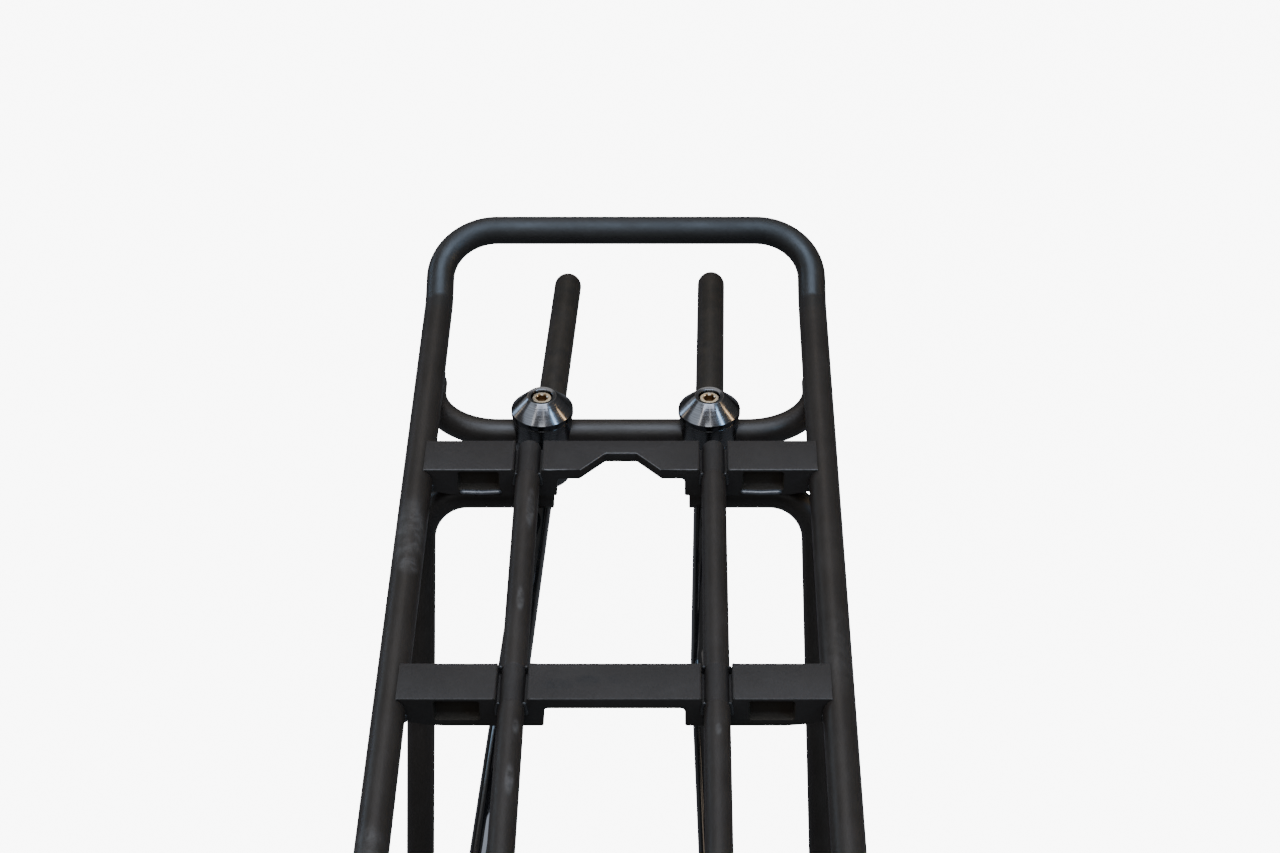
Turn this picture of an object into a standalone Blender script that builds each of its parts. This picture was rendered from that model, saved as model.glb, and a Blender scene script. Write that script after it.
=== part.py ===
"""Rear rack for a bicycle, built as the separate pieces it comes apart into.

Frame: origin at the centre of the top face of the middle crossplate, +Z up,
+Y towards the tail of the bicycle. Names call the -X side "left" and the +X
side "right". Lengths are in millimetres and become metres as each mesh is made.

One closed deck tube carries three crossplates with two rows of plug-in rails
between them. A cross tube under the tail holds two clamps, and each clamp holds
a stay rod that slides and swivels. Four legs run down to two dropout feet.
"""

import math
from collections import namedtuple

import bmesh
import bpy
from mathutils import Matrix, Vector

MM = 0.001
GAP = 0.3  # joint gap between neighbouring solids
TUBE_SIDES = 16
TURNED_STEPS = 24
SHARP_ANGLE = 35.0  # degrees; flatter edges are shaded smooth
SIDE_SIGNS = {"left": -1, "right": 1}
END_SIGNS = {"rear": 1, "front": -1}
UP = (0, 0, 1)
REARWARD = (0, 1, 0)

# Deck tube
TUBE_R = 6.35
HALF_W = 85.0  # rack centre to tube centre
DECK_Z = -TUBE_R  # tube centre, so that its top is flush with Z = 0
DECK_FRONT_Y = -185.0
FRONT_CORNER_R = 30.0
KINK_Y = 259.0  # the tube rises from here to the tail hoop
KINK_R = 12.0
HOOP_Y = 294.6
HOOP_Z = 10.25
HOOP_CORNER_R = 25.5

# Crossplates
PITCH = 139.0
PLATE_HALF_Y = 10.0
PLATE_END_X = 82.2
BLOCK_IN_X = 26.7  # inner end of the deep block on each side
BLOCK_Z = -13.8  # underside of the blocks
CENTRE_Z = -4.8  # underside of the thin middle
GROOVE_HALF = 5.8
GROOVE_Z = -5.2
RIB_R = 4.7  # half-round rib standing in the groove
RIB_STEPS = 8
COPE_R = TUBE_R + GAP + 0.05
COPE_HALF_LEN = 30.0
WINDOW_X = (51.0, 68.0)
WINDOW_Z = (-10.6, -1.3)
WINDOW_DEPTH = 3.5
WINDOW_OVERCUT = 4.0
NOTCH_MOUTH = 16.7  # half widths of the tapered notch
NOTCH_FLOOR = 6.55
NOTCH_DEPTH = 11.2
NOTCH_OVERCUT = 5.0
NOTCH_CUT_HALF_Z = 20.0

# Rails
RAIL_X = 38.8
RAIL_R = 5.1
RAIL_BORE_R = 3.9
SPIGOT_R = 3.5
SPIGOT_LEN = 8.0
SPIGOT_ROOT = 2.0  # buried in the crossplate

# Bolts and washers
BOLT_R = 2.35
BOLT_HOLE_R = 2.75
BOLT_HOLE_STEPS = 16
TIP_CHAMFER_R = 0.5
TIP_CHAMFER_LEN = 0.6
HEAD_R = 4.25
HEAD_H = 5.0
HEAD_CHAMFER = 0.5
SOCKET_R = 2.31  # to the corners of the hexagon
SOCKET_DEPTH = 2.6
SOCKET_OVERCUT = 2.0
WASHER_R = 5.0
WASHER_T = 1.0
FASTENER_STEPS = 20  # on the stays and feet

# Cross tube and clamps
BAR_R = 6.0
BAR_Y = 179.0
BAR_Z = -19.0
BAR_BEND_R = 31.0
BAR_ARM_Y = 218.0
BAR_HOLE_HALF_LEN = 12.0
CLAMP_X = {"left": -34.8, "right": 37.4}
CAP_RIM_R = 13.4
CAP_TOP_R = 6.3
CAP_TOP_Z = 1.3
CAP_RIM_Z = -5.7
CAP_BASE_Z = -8.7
CAP_CHAMFER = 0.7
CAP_SEAT_Z = -5.2  # floor of the recess for the bolt head
CAP_RECESS_R = HEAD_R + 0.35
CAP_STEPS = 28
BODY_R = 12.8
BODY_BASE_Z = -26.2
SADDLE_GROOVE_R = BAR_R + GAP + 0.02
SADDLE_GROOVE_HALF_LEN = 30.0
EYE_R = 11.2
EYE_BASE_Z = -43.5
EYE_TOP_Z = BODY_BASE_Z - GAP
EYE_CHAMFER = 2.0
EYE_HOLE_HALF_LEN = 25.0
THREAD_OVERCUT = 6.0
CLAMP_BOLT_LEN = 23.0

# Stays
STAY_R = 6.35
STAY_Z = -35.0
STAY_OFF_X = {"left": -0.5, "right": 0.0}  # bolt centre to rod centre
STAY_HOLE_R = STAY_R + GAP
STAY_YAW = {"left": 2.7, "right": 0.9}  # degrees from +Y towards +X
STAY_REAR_Y = {"left": 321.0, "right": 322.2}
STAY_BEND_Y = 47.0
STAY_BEND_R = 40.0
STAY_BEND_STEP = 8.0  # degrees
STAY_DROP = 15.0  # degrees below level, in front of the bend
STAY_SPLAY = {"left": 5.3, "right": -2.0}  # degrees from -Y towards -X
STAY_FRONT_LEN = 330.0
STAY_NOSE_ANGLES = (78, 60, 42, 24, 0)  # degrees round the domed rear end
TAB_HALF_T = 2.25
TAB_HALF_W = 8.5
TAB_EDGE_R = 1.2
TAB_LEN = 26.0
TAB_TIP_ANGLES = (0, 20, 40, 55, 70, 80)  # degrees round the rounded front end
TAB_TIP_MIN_HALF_W = 1.3
NECK_LEN = 20.0  # from round rod to flat tab
NECK_STEPS = 4
STAY_BOLT_LEN = 17.0
TAB_HOLE_HALF_LEN = 10.0

# Feet
FOOT_X = 76.5
FOOT_HALF_T = 2.5
FOOT_TOP_Z = -304.5
FOOT_BOLT_Z = -346.0
FOOT_END_R = 10.5
FOOT_END_STEPS = 8
FOOT_HOLE_HALF_LEN = 20.0
FOOT_BOLT_LEN = 19.0
BOSS_R = 8.5  # seat against the bicycle frame
BOSS_H = 1.5
BOSS_STEPS = 20

# Legs
LEG_R = 6.0
LEG_Y = 138.0
LEG_Z = BLOCK_Z - GAP - LEG_R
LEG_IN_X = 28.6
LEG_OUT_X = {"left": 84.6, "right": 81.8}
LEG_BEND_R = 20.0
LEG_LOWER_BEND_R = 45.0
LEG_BEND_STEP = 12.0  # degrees
KNEE_X = {"left": 91.0, "right": 89.6}
KNEE_Y = 47.0
KNEE_Z = -236.0
ANKLE = (FOOT_X, 29.5, -279.0)
HEEL = (FOOT_X, 9.5, -327.0)
MOUTH_R = LEG_R - 1.4
MOUTH_DEPTH = 18.0
MOUTH_OVERCUT = 5.0
MOUTH_STEPS = 20
SLOT_HALF = FOOT_HALF_T + GAP
SLOT_TOP_Z = FOOT_TOP_Z + 1.0
SLOT_BASE_Z = -360.0
SLOT_REACH_Y = 60.0

Finish = namedtuple("Finish", "colour roughness metallic")
PAINT = (0.018, 0.018, 0.019)
CLAMP_BLACK = (0.016, 0.018, 0.021)
STEEL = (0.62, 0.58, 0.52)
TUBE_FINISH = Finish(PAINT, roughness=0.55, metallic=0.2)
LEG_FINISH = Finish(PAINT, roughness=0.5, metallic=0.2)
RAIL_FINISH = Finish(PAINT, roughness=0.55, metallic=0.0)
FOOT_FINISH = Finish(PAINT, roughness=0.5, metallic=0.0)
PLATE_FINISH = Finish((0.022, 0.022, 0.023), roughness=0.62, metallic=0.0)
STAY_FINISH = Finish((0.010, 0.010, 0.011), roughness=0.16, metallic=0.0)
CAP_FINISH = Finish(CLAMP_BLACK, roughness=0.18, metallic=0.0)
CLAMP_FINISH = Finish(CLAMP_BLACK, roughness=0.2, metallic=0.0)
BOLT_FINISH = Finish(STEEL, roughness=0.28, metallic=1.0)
WASHER_FINISH = Finish(STEEL, roughness=0.35, metallic=1.0)


# ---- Objects and materials ----

def clear_scene():
    for obj in list(bpy.data.objects):
        bpy.data.objects.remove(obj, do_unlink=True)


def make_material(name, finish):
    material = bpy.data.materials.new(name)
    material.use_nodes = True
    inputs = material.node_tree.nodes["Principled BSDF"].inputs
    inputs["Base Color"].default_value = (*finish.colour, 1.0)
    inputs["Roughness"].default_value = finish.roughness
    inputs["Metallic"].default_value = finish.metallic
    return material


def add_mesh(name, bm, finish=None, parent=None):
    """Turns a bmesh into an object in metres; with no finish it is a hidden helper."""
    bmesh.ops.recalc_face_normals(bm, faces=bm.faces)
    bmesh.ops.scale(bm, vec=(MM, MM, MM), verts=bm.verts)
    mesh = bpy.data.meshes.new(name)
    bm.to_mesh(mesh)
    bm.free()
    obj = bpy.data.objects.new(name, mesh)
    bpy.context.collection.objects.link(obj)
    if finish is None:
        obj.hide_render = True
        obj.display_type = "WIRE"
    else:
        mesh.materials.append(make_material(name, finish))
        mesh.shade_smooth()
        mesh.set_sharp_from_angle(angle=math.radians(SHARP_ANGLE))
    if parent is not None:
        obj.parent = parent
        obj.matrix_parent_inverse = Matrix.Translation(-parent.location)
    return obj


def boolean(obj, helper, operation="DIFFERENCE"):
    modifier = obj.modifiers.new(f"{operation.lower()}_{helper.name}", "BOOLEAN")
    modifier.operation = operation
    modifier.solver = "EXACT"
    modifier.object = helper


# ---- Paths and sweeps ----

def rounded(corners, step=15.0, closed=False):
    """A path through (point, bend radius) corners; the ends of an open path stay put."""
    points = [Vector(point) for point, _ in corners]
    last = len(points) - 1
    path = []
    for i, (corner, (_, radius)) in enumerate(zip(points, corners)):
        if not closed and i in (0, last):
            path.append(corner)
            continue
        before = (corner - points[i - 1]).normalized()
        after = (points[(i + 1) % len(points)] - corner).normalized()
        turn = before.angle(after)
        start = corner - before * radius * math.tan(turn / 2)
        centre = corner + (after - before).normalized() * (radius / math.cos(turn / 2))
        axis = before.cross(after).normalized()
        # the small allowance keeps an exact multiple of the step from gaining a segment
        count = max(2, math.ceil(math.degrees(turn) / step - 1e-6))
        for k in range(count + 1):
            spin = Matrix.Rotation(turn * k / count, 3, axis)
            path.append(centre + spin @ (start - centre))
    return path


def section(half_side, half_up, corner_r):
    """A rectangle with round corners; a circle when all three are equal."""
    per_quarter = TUBE_SIDES // 4
    points = []
    for quarter, (side, up) in enumerate(((1, 1), (-1, 1), (-1, -1), (1, -1))):
        for k in range(per_quarter):
            angle = math.radians(90 * quarter + (k + 0.5) * 90 / per_quarter)
            points.append((
                side * (half_side - corner_r) + corner_r * math.cos(angle),
                up * (half_up - corner_r) + corner_r * math.sin(angle),
            ))
    return points


def loft(rings, closed=False):
    """A skin over rings of points, capped at both ends unless closed on itself."""
    bm = bmesh.new()
    loops = [[bm.verts.new(point) for point in ring] for ring in rings]
    pairs = list(zip(loops, loops[1:]))
    if closed:
        pairs.append((loops[-1], loops[0]))
    for a, b in pairs:
        for k in range(len(a)):
            j = (k + 1) % len(a)
            bm.faces.new((a[k], a[j], b[j], b[k]))
    if not closed:
        bm.faces.new(list(reversed(loops[0])))
        bm.faces.new(loops[-1])
    return bm


def sweep(path, sections, reference=UP, closed=False):
    """Sections set square to the path, their up axis leaning towards the reference."""
    last = len(path) - 1
    rings = []
    for i, (point, outline) in enumerate(zip(path, sections)):
        if closed:
            behind, ahead = path[i - 1], path[(i + 1) % len(path)]
        else:
            behind, ahead = path[max(i - 1, 0)], path[min(i + 1, last)]
        # at an open end one of the two directions is zero
        tangent = ((point - behind).normalized() + (ahead - point).normalized()).normalized()
        side = tangent.cross(Vector(reference)).normalized()
        up = side.cross(tangent).normalized()
        rings.append([point + side * a + up * b for a, b in outline])
    return loft(rings, closed)


def tube(name, path, radius, finish, reference=UP, closed=False):
    sections = [section(radius, radius, radius)] * len(path)
    return add_mesh(name, sweep(path, sections, reference, closed), finish)


# ---- Turned, round and flat bodies ----

def turned(name, profile, origin, direction=UP, bored=False, steps=TURNED_STEPS,
           finish=None, parent=None):
    """A body turned from (radius, height) pairs; bored joins the profile's ends."""
    bm = bmesh.new()
    turn = Vector(UP).rotation_difference(Vector(direction).normalized())
    place = Matrix.Translation(Vector(origin)) @ turn.to_matrix().to_4x4()
    angles = [2 * math.pi * k / steps for k in range(steps)]
    rows = []
    for radius, height in profile:
        # a point on the axis is a single vertex
        row_angles = angles if radius > 0 else [0.0]
        rows.append([
            bm.verts.new(place @ Vector((radius * math.cos(a), radius * math.sin(a), height)))
            for a in row_angles
        ])
    pairs = list(zip(rows, rows[1:]))
    if bored:
        pairs.append((rows[-1], rows[0]))
    for a, b in pairs:
        for k in range(steps):
            j = (k + 1) % steps
            corners = (a[k % len(a)], a[j % len(a)], b[j % len(b)], b[k % len(b)])
            # a repeated axis vertex is dropped, which leaves a triangle
            bm.faces.new(list(dict.fromkeys(corners)))
    return add_mesh(name, bm, finish, parent)


def helper_rod(name, start, end, radius, steps=TURNED_STEPS, parent=None):
    """A plain round bar used as a boolean helper."""
    axis = Vector(end) - Vector(start)
    profile = [(0, 0), (radius, 0), (radius, axis.length), (0, axis.length)]
    return turned(name, profile, start, axis, steps=steps, parent=parent)


def prism(name, outline, place, depth, finish=None):
    """A flat (u, v) outline pushed out by depth w, through place(u, v, w)."""
    rings = [[Vector(place(u, v, w)) for u, v in outline] for w in (0.0, depth)]
    return add_mesh(name, loft(rings), finish)


# ---- Fasteners ----

def bolt(name, origin, direction, length, steps=TURNED_STEPS, parent=None):
    """A socket-head bolt: origin under the head, direction towards the head."""
    profile = [
        (0, -length),
        (BOLT_R - TIP_CHAMFER_R, -length),
        (BOLT_R, -length + TIP_CHAMFER_LEN),
        (BOLT_R, 0),
        (HEAD_R, 0),
        (HEAD_R, HEAD_H - HEAD_CHAMFER),
        (HEAD_R - HEAD_CHAMFER, HEAD_H),
        (0, HEAD_H),
    ]
    body = turned(name, profile, origin, direction, steps=steps, finish=BOLT_FINISH,
                  parent=parent)
    floor, top = HEAD_H - SOCKET_DEPTH, HEAD_H + SOCKET_OVERCUT
    socket = turned(f"{name}_socket", [(0, floor), (SOCKET_R, floor), (SOCKET_R, top), (0, top)],
                    origin, direction, steps=6, parent=parent)
    boolean(body, socket)


def washer_and_bolt(piece, side, seat, direction, length, parent=None):
    """A washer and bolt stacked outwards from a seat point on a face."""
    turned(
        f"{piece}_washer_{side}",
        [(BOLT_HOLE_R, 0), (WASHER_R, 0), (WASHER_R, WASHER_T), (BOLT_HOLE_R, WASHER_T)],
        seat + direction * GAP, direction, bored=True, steps=FASTENER_STEPS,
        finish=WASHER_FINISH, parent=parent,
    )
    bolt(f"{piece}_bolt_{side}", seat + direction * (2 * GAP + WASHER_T), direction, length,
         steps=FASTENER_STEPS, parent=parent)


# ---- Deck ----

def deck_tube():
    corners = [
        ((HALF_W, KINK_Y, DECK_Z), KINK_R),
        ((HALF_W, HOOP_Y, HOOP_Z), HOOP_CORNER_R),
        ((-HALF_W, HOOP_Y, HOOP_Z), HOOP_CORNER_R),
        ((-HALF_W, KINK_Y, DECK_Z), KINK_R),
        ((-HALF_W, DECK_FRONT_Y, DECK_Z), FRONT_CORNER_R),
        ((HALF_W, DECK_FRONT_Y, DECK_Z), FRONT_CORNER_R),
    ]
    tube("deck_tube", rounded(corners, closed=True), TUBE_R, TUBE_FINISH, closed=True)


def plate_outline():
    """A crossplate's (x, z) section across the rack."""
    rib = []
    for k in range(RIB_STEPS + 1):
        angle = math.radians(180 - 180 * k / RIB_STEPS)
        rib.append((RAIL_X + RIB_R * math.cos(angle), -RIB_R + RIB_R * math.sin(angle)))
    # +X half of the top, from the centre outwards
    top = [
        (RAIL_X - GROOVE_HALF, 0),
        (RAIL_X - GROOVE_HALF, GROOVE_Z),
        (RAIL_X - RIB_R, GROOVE_Z),
        *rib,
        (RAIL_X + RIB_R, GROOVE_Z),
        (RAIL_X + GROOVE_HALF, GROOVE_Z),
        (RAIL_X + GROOVE_HALF, 0),
        (PLATE_END_X, 0),
    ]
    # +X half of the underside, from the end inwards
    under = [
        (PLATE_END_X, -6.4),
        (79.0, -10.6),
        (78.0, -11.8),
        (71.5, -13.2),
        (65.0, BLOCK_Z),
        (BLOCK_IN_X + 0.6, BLOCK_Z),
        (BLOCK_IN_X, BLOCK_Z + 0.6),
        (BLOCK_IN_X, CENTRE_Z - 1.4),
        (BLOCK_IN_X - 0.4, CENTRE_Z - 0.4),
        (BLOCK_IN_X - 1.4, CENTRE_Z),
    ]
    top_left = [(-x, z) for x, z in reversed(top)]
    under_left = [(-x, z) for x, z in reversed(under)]
    return top_left + top + under + under_left


def cut_cope(plate, y, side):
    """The hollow in the plate's end that fits the deck tube."""
    x = SIDE_SIGNS[side] * HALF_W
    cope = helper_rod(f"{plate.name}_cope_{side}", (x, y - COPE_HALF_LEN, DECK_Z),
                      (x, y + COPE_HALF_LEN, DECK_Z), COPE_R)
    boolean(plate, cope)


def cut_pockets(plate, y, side):
    """A pocket in the front face and one in the rear face, with a web between."""
    sign = SIDE_SIGNS[side]
    x0, x1 = (sign * x for x in WINDOW_X)
    z0, z1 = WINDOW_Z
    starts = {
        "front": y - PLATE_HALF_Y - WINDOW_OVERCUT,
        "rear": y + PLATE_HALF_Y - WINDOW_DEPTH,
    }
    for face, start in starts.items():
        pocket = prism(
            f"{plate.name}_pocket_{face}_{side}", [(x0, z0), (x1, z0), (x1, z1), (x0, z1)],
            lambda u, v, w: (u, start + w, v), WINDOW_DEPTH + WINDOW_OVERCUT,
        )
        boolean(plate, pocket)


def add_spigot(plate, y, side, end):
    """The peg that a rail plugs on to."""
    x = SIDE_SIGNS[side] * RAIL_X
    direction = END_SIGNS[end]
    face = y + direction * PLATE_HALF_Y
    spigot = helper_rod(
        f"{plate.name}_spigot_{side}_{end}",
        (x, face - direction * SPIGOT_ROOT, -RAIL_R),
        (x, face + direction * SPIGOT_LEN, -RAIL_R),
        SPIGOT_R, steps=16,
    )
    boolean(plate, spigot, "UNION")


def cut_notch(plate, y):
    """The tapered notch in the middle of the front face."""
    front = y - PLATE_HALF_Y
    slope = (NOTCH_MOUTH - NOTCH_FLOOR) / NOTCH_DEPTH
    wide = NOTCH_MOUTH + slope * NOTCH_OVERCUT
    outline = [
        (-wide, front - NOTCH_OVERCUT),
        (wide, front - NOTCH_OVERCUT),
        (NOTCH_FLOOR, front + NOTCH_DEPTH),
        (-NOTCH_FLOOR, front + NOTCH_DEPTH),
    ]
    notch = prism(f"{plate.name}_notch", outline,
                  lambda u, v, w: (u, v, w - NOTCH_CUT_HALF_Z), 2 * NOTCH_CUT_HALF_Z)
    boolean(plate, notch)


def crossplate(name, y, spigot_ends, notched=False):
    plate = prism(name, plate_outline(), lambda u, v, w: (u, y - PLATE_HALF_Y + w, v),
                  2 * PLATE_HALF_Y, PLATE_FINISH)
    for side in SIDE_SIGNS:
        cut_cope(plate, y, side)
        cut_pockets(plate, y, side)
        for end in spigot_ends:
            add_spigot(plate, y, side, end)
    if notched:
        cut_notch(plate, y)


def rail(side, end):
    """A hollow rail between the middle crossplate and the next."""
    half = PITCH / 2 - PLATE_HALF_Y - GAP
    turned(
        f"rail_{end}_{side}",
        [(RAIL_BORE_R, -half), (RAIL_R, -half), (RAIL_R, half), (RAIL_BORE_R, half)],
        (SIDE_SIGNS[side] * RAIL_X, END_SIGNS[end] * PITCH / 2, -RAIL_R), REARWARD,
        bored=True, steps=TUBE_SIDES, finish=RAIL_FINISH,
    )


# ---- Cross tube and clamps ----

def clamp_bar():
    corners = [
        ((-HALF_W, BAR_ARM_Y, BAR_Z), 0),
        ((-HALF_W, BAR_Y, BAR_Z), BAR_BEND_R),
        ((HALF_W, BAR_Y, BAR_Z), BAR_BEND_R),
        ((HALF_W, BAR_ARM_Y, BAR_Z), 0),
    ]
    bar = tube("clamp_bar", rounded(corners), BAR_R, TUBE_FINISH)
    for side, x in CLAMP_X.items():
        hole = helper_rod(f"bar_hole_{side}", (x, BAR_Y, BAR_Z - BAR_HOLE_HALF_LEN),
                          (x, BAR_Y, BAR_Z + BAR_HOLE_HALF_LEN), BOLT_HOLE_R,
                          steps=BOLT_HOLE_STEPS)
        boolean(bar, hole)


def clamp_cap(side):
    profile = [
        (BOLT_HOLE_R, CAP_BASE_Z),
        (CAP_RIM_R - CAP_CHAMFER, CAP_BASE_Z),
        (CAP_RIM_R, CAP_BASE_Z + CAP_CHAMFER),
        (CAP_RIM_R, CAP_RIM_Z),
        (CAP_TOP_R, CAP_TOP_Z),
        (CAP_RECESS_R, CAP_TOP_Z),
        (CAP_RECESS_R, CAP_SEAT_Z),
        (BOLT_HOLE_R, CAP_SEAT_Z),
    ]
    turned(f"clamp_cap_{side}", profile, (CLAMP_X[side], BAR_Y, 0), bored=True,
           steps=CAP_STEPS, finish=CAP_FINISH)


def clamp_saddle(side, level, base_z, top_z):
    """A disc grooved to sit on or under the cross tube."""
    x = CLAMP_X[side]
    profile = [(BOLT_HOLE_R, base_z), (BODY_R, base_z), (BODY_R, top_z), (BOLT_HOLE_R, top_z)]
    saddle = turned(f"clamp_saddle_{level}_{side}", profile, (x, BAR_Y, 0), bored=True,
                    finish=CLAMP_FINISH)
    groove = helper_rod(f"saddle_groove_{level}_{side}",
                        (x - SADDLE_GROOVE_HALF_LEN, BAR_Y, BAR_Z),
                        (x + SADDLE_GROOVE_HALF_LEN, BAR_Y, BAR_Z), SADDLE_GROOVE_R)
    boolean(saddle, groove)


def stay_axis(side):
    """The stay's centre at its clamp and its rearward direction there."""
    yaw = math.radians(STAY_YAW[side])
    centre = Vector((CLAMP_X[side] + STAY_OFF_X[side], BAR_Y, STAY_Z))
    return centre, Vector((math.sin(yaw), math.cos(yaw), 0))


def clamp_eye(side, swivel):
    """The block the stay slides through, with the bolt's hole from above."""
    x = CLAMP_X[side]
    profile = [
        (0, EYE_BASE_Z),
        (EYE_R - EYE_CHAMFER, EYE_BASE_Z),
        (EYE_R, EYE_BASE_Z + EYE_CHAMFER),
        (EYE_R, EYE_TOP_Z),
        (0, EYE_TOP_Z),
    ]
    eye = turned(f"clamp_eye_{side}", profile, (x, BAR_Y, 0), finish=CLAMP_FINISH,
                 parent=swivel)
    centre, rearward = stay_axis(side)
    reach = rearward * EYE_HOLE_HALF_LEN
    boolean(eye, helper_rod(f"eye_hole_{side}", centre - reach, centre + reach, STAY_HOLE_R,
                            parent=swivel))
    thread = helper_rod(f"eye_thread_{side}", (x, BAR_Y, STAY_Z),
                        (x, BAR_Y, EYE_TOP_Z + THREAD_OVERCUT), BOLT_HOLE_R,
                        steps=BOLT_HOLE_STEPS, parent=swivel)
    boolean(eye, thread)


def clamp(side, swivel):
    clamp_cap(side)
    clamp_saddle(side, "upper", BAR_Z + GAP, CAP_BASE_Z - GAP)
    clamp_saddle(side, "lower", BODY_BASE_Z, BAR_Z - GAP)
    clamp_eye(side, swivel)
    bolt(f"clamp_bolt_{side}", (CLAMP_X[side], BAR_Y, CAP_SEAT_Z + GAP), UP, CLAMP_BOLT_LEN)


# ---- Stays ----

def stay_line(side):
    """The rear end and bend of a stay, with its directions behind and before the bend."""
    centre, rearward = stay_axis(side)
    rear = centre + rearward * ((STAY_REAR_Y[side] - BAR_Y) / rearward.y)
    bend = centre + rearward * ((STAY_BEND_Y - BAR_Y) / rearward.y)
    drop, splay = math.radians(STAY_DROP), math.radians(STAY_SPLAY[side])
    ahead = Vector((
        -math.sin(splay) * math.cos(drop),
        -math.cos(splay) * math.cos(drop),
        -math.sin(drop),
    ))
    return rear, bend, rearward, ahead


def stay_stations(rear, bend, rearward, ahead):
    """Rows of point, half thickness, half height and corner radius, rear to front."""
    stations = []
    for degrees in STAY_NOSE_ANGLES:
        angle = math.radians(degrees)
        radius = STAY_R * math.cos(angle)
        point = rear - rearward * STAY_R * (1 - math.sin(angle))
        stations.append((point, radius, radius, radius))

    front = bend + ahead * STAY_FRONT_LEN
    corners = [(rear - rearward * STAY_R, 0), (bend, STAY_BEND_R), (front, 0)]
    for point in rounded(corners, step=STAY_BEND_STEP)[1:-1]:
        stations.append((point, STAY_R, STAY_R, STAY_R))

    neck_start = STAY_FRONT_LEN - TAB_LEN - NECK_LEN
    for k in range(NECK_STEPS + 1):
        t = k / NECK_STEPS
        ease = t * t * (3 - 2 * t)
        sizes = [STAY_R + (size - STAY_R) * ease
                 for size in (TAB_HALF_T, TAB_HALF_W, TAB_EDGE_R)]
        stations.append((bend + ahead * (neck_start + NECK_LEN * t), *sizes))

    for degrees in TAB_TIP_ANGLES:
        angle = math.radians(degrees)
        point = front - ahead * (TAB_HALF_W * (1 - math.sin(angle)))
        half_w = max(TAB_HALF_W * math.cos(angle), TAB_TIP_MIN_HALF_W)
        stations.append((point, TAB_HALF_T, half_w, TAB_EDGE_R))
    return stations


def stay(side, swivel):
    rear, bend, rearward, ahead = stay_line(side)
    stations = stay_stations(rear, bend, rearward, ahead)
    path = [point for point, *_ in stations]
    sections = [section(*sizes) for _, *sizes in stations]
    body = add_mesh(f"stay_rod_{side}", sweep(path, sections), STAY_FINISH, swivel)

    tab_centre = bend + ahead * (STAY_FRONT_LEN - TAB_HALF_W)
    outward = Vector(UP).cross(ahead).normalized() * SIDE_SIGNS[side]
    reach = outward * TAB_HOLE_HALF_LEN
    hole = helper_rod(f"stay_hole_{side}", tab_centre - reach, tab_centre + reach,
                      BOLT_HOLE_R, steps=BOLT_HOLE_STEPS, parent=swivel)
    boolean(body, hole)
    washer_and_bolt("stay", side, tab_centre + outward * TAB_HALF_T, outward, STAY_BOLT_LEN,
                    swivel)


def swivel_axis(side):
    """The empty that carries a clamp eye and its stay."""
    swivel = bpy.data.objects.new(f"swivel_axis_{side}", None)
    swivel.location = (CLAMP_X[side] * MM, BAR_Y * MM, STAY_Z * MM)
    bpy.context.collection.objects.link(swivel)
    return swivel


# ---- Legs and feet ----

def leg(side, end):
    """A stub under a crossplate, a bend down and a slotted lower end."""
    x_sign, y_sign = SIDE_SIGNS[side], END_SIGNS[end]
    name = f"leg_{end}_{side}"

    def at(x, y, z):
        return Vector((x_sign * x, y_sign * y, z))

    corners = [
        (at(LEG_IN_X, LEG_Y, LEG_Z), 0),
        (at(LEG_OUT_X[side], LEG_Y, LEG_Z), LEG_BEND_R),
        (at(KNEE_X[side], KNEE_Y, KNEE_Z), LEG_LOWER_BEND_R),
        (at(*ANKLE), LEG_LOWER_BEND_R),
        (at(*HEEL), 0),
    ]
    body = tube(name, rounded(corners, step=LEG_BEND_STEP), LEG_R, LEG_FINISH,
                reference=REARWARD)
    # the open inner end of the stub
    mouth = helper_rod(f"{name}_mouth", at(LEG_IN_X - MOUTH_OVERCUT, LEG_Y, LEG_Z),
                       at(LEG_IN_X + MOUTH_DEPTH, LEG_Y, LEG_Z), MOUTH_R, steps=MOUTH_STEPS)
    boolean(body, mouth)
    # the slot that takes the foot plate
    outline = [
        (-SLOT_HALF, SLOT_BASE_Z),
        (SLOT_HALF, SLOT_BASE_Z),
        (SLOT_HALF, SLOT_TOP_Z),
        (-SLOT_HALF, SLOT_TOP_Z),
    ]
    slot = prism(
        f"{name}_slot", outline,
        lambda u, v, w: (x_sign * FOOT_X + u, y_sign * (SLOT_REACH_Y - w), v), SLOT_REACH_Y,
    )
    boolean(body, slot)


def foot_outline():
    """The foot plate's (y, z) outline: two horns above and a round lower end."""
    outline = [
        (-21.5, FOOT_TOP_Z), (-12.0, FOOT_TOP_Z), (-5.0, -316.0), (5.0, -316.0),
        (12.0, FOOT_TOP_Z), (21.5, FOOT_TOP_Z), (13.0, -330.0),
    ]
    for k in range(FOOT_END_STEPS + 1):
        angle = math.radians(10 - 200 * k / FOOT_END_STEPS)
        outline.append((FOOT_END_R * math.cos(angle),
                        FOOT_BOLT_Z + FOOT_END_R * math.sin(angle)))
    outline.append((-13.0, -330.0))
    return outline


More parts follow.
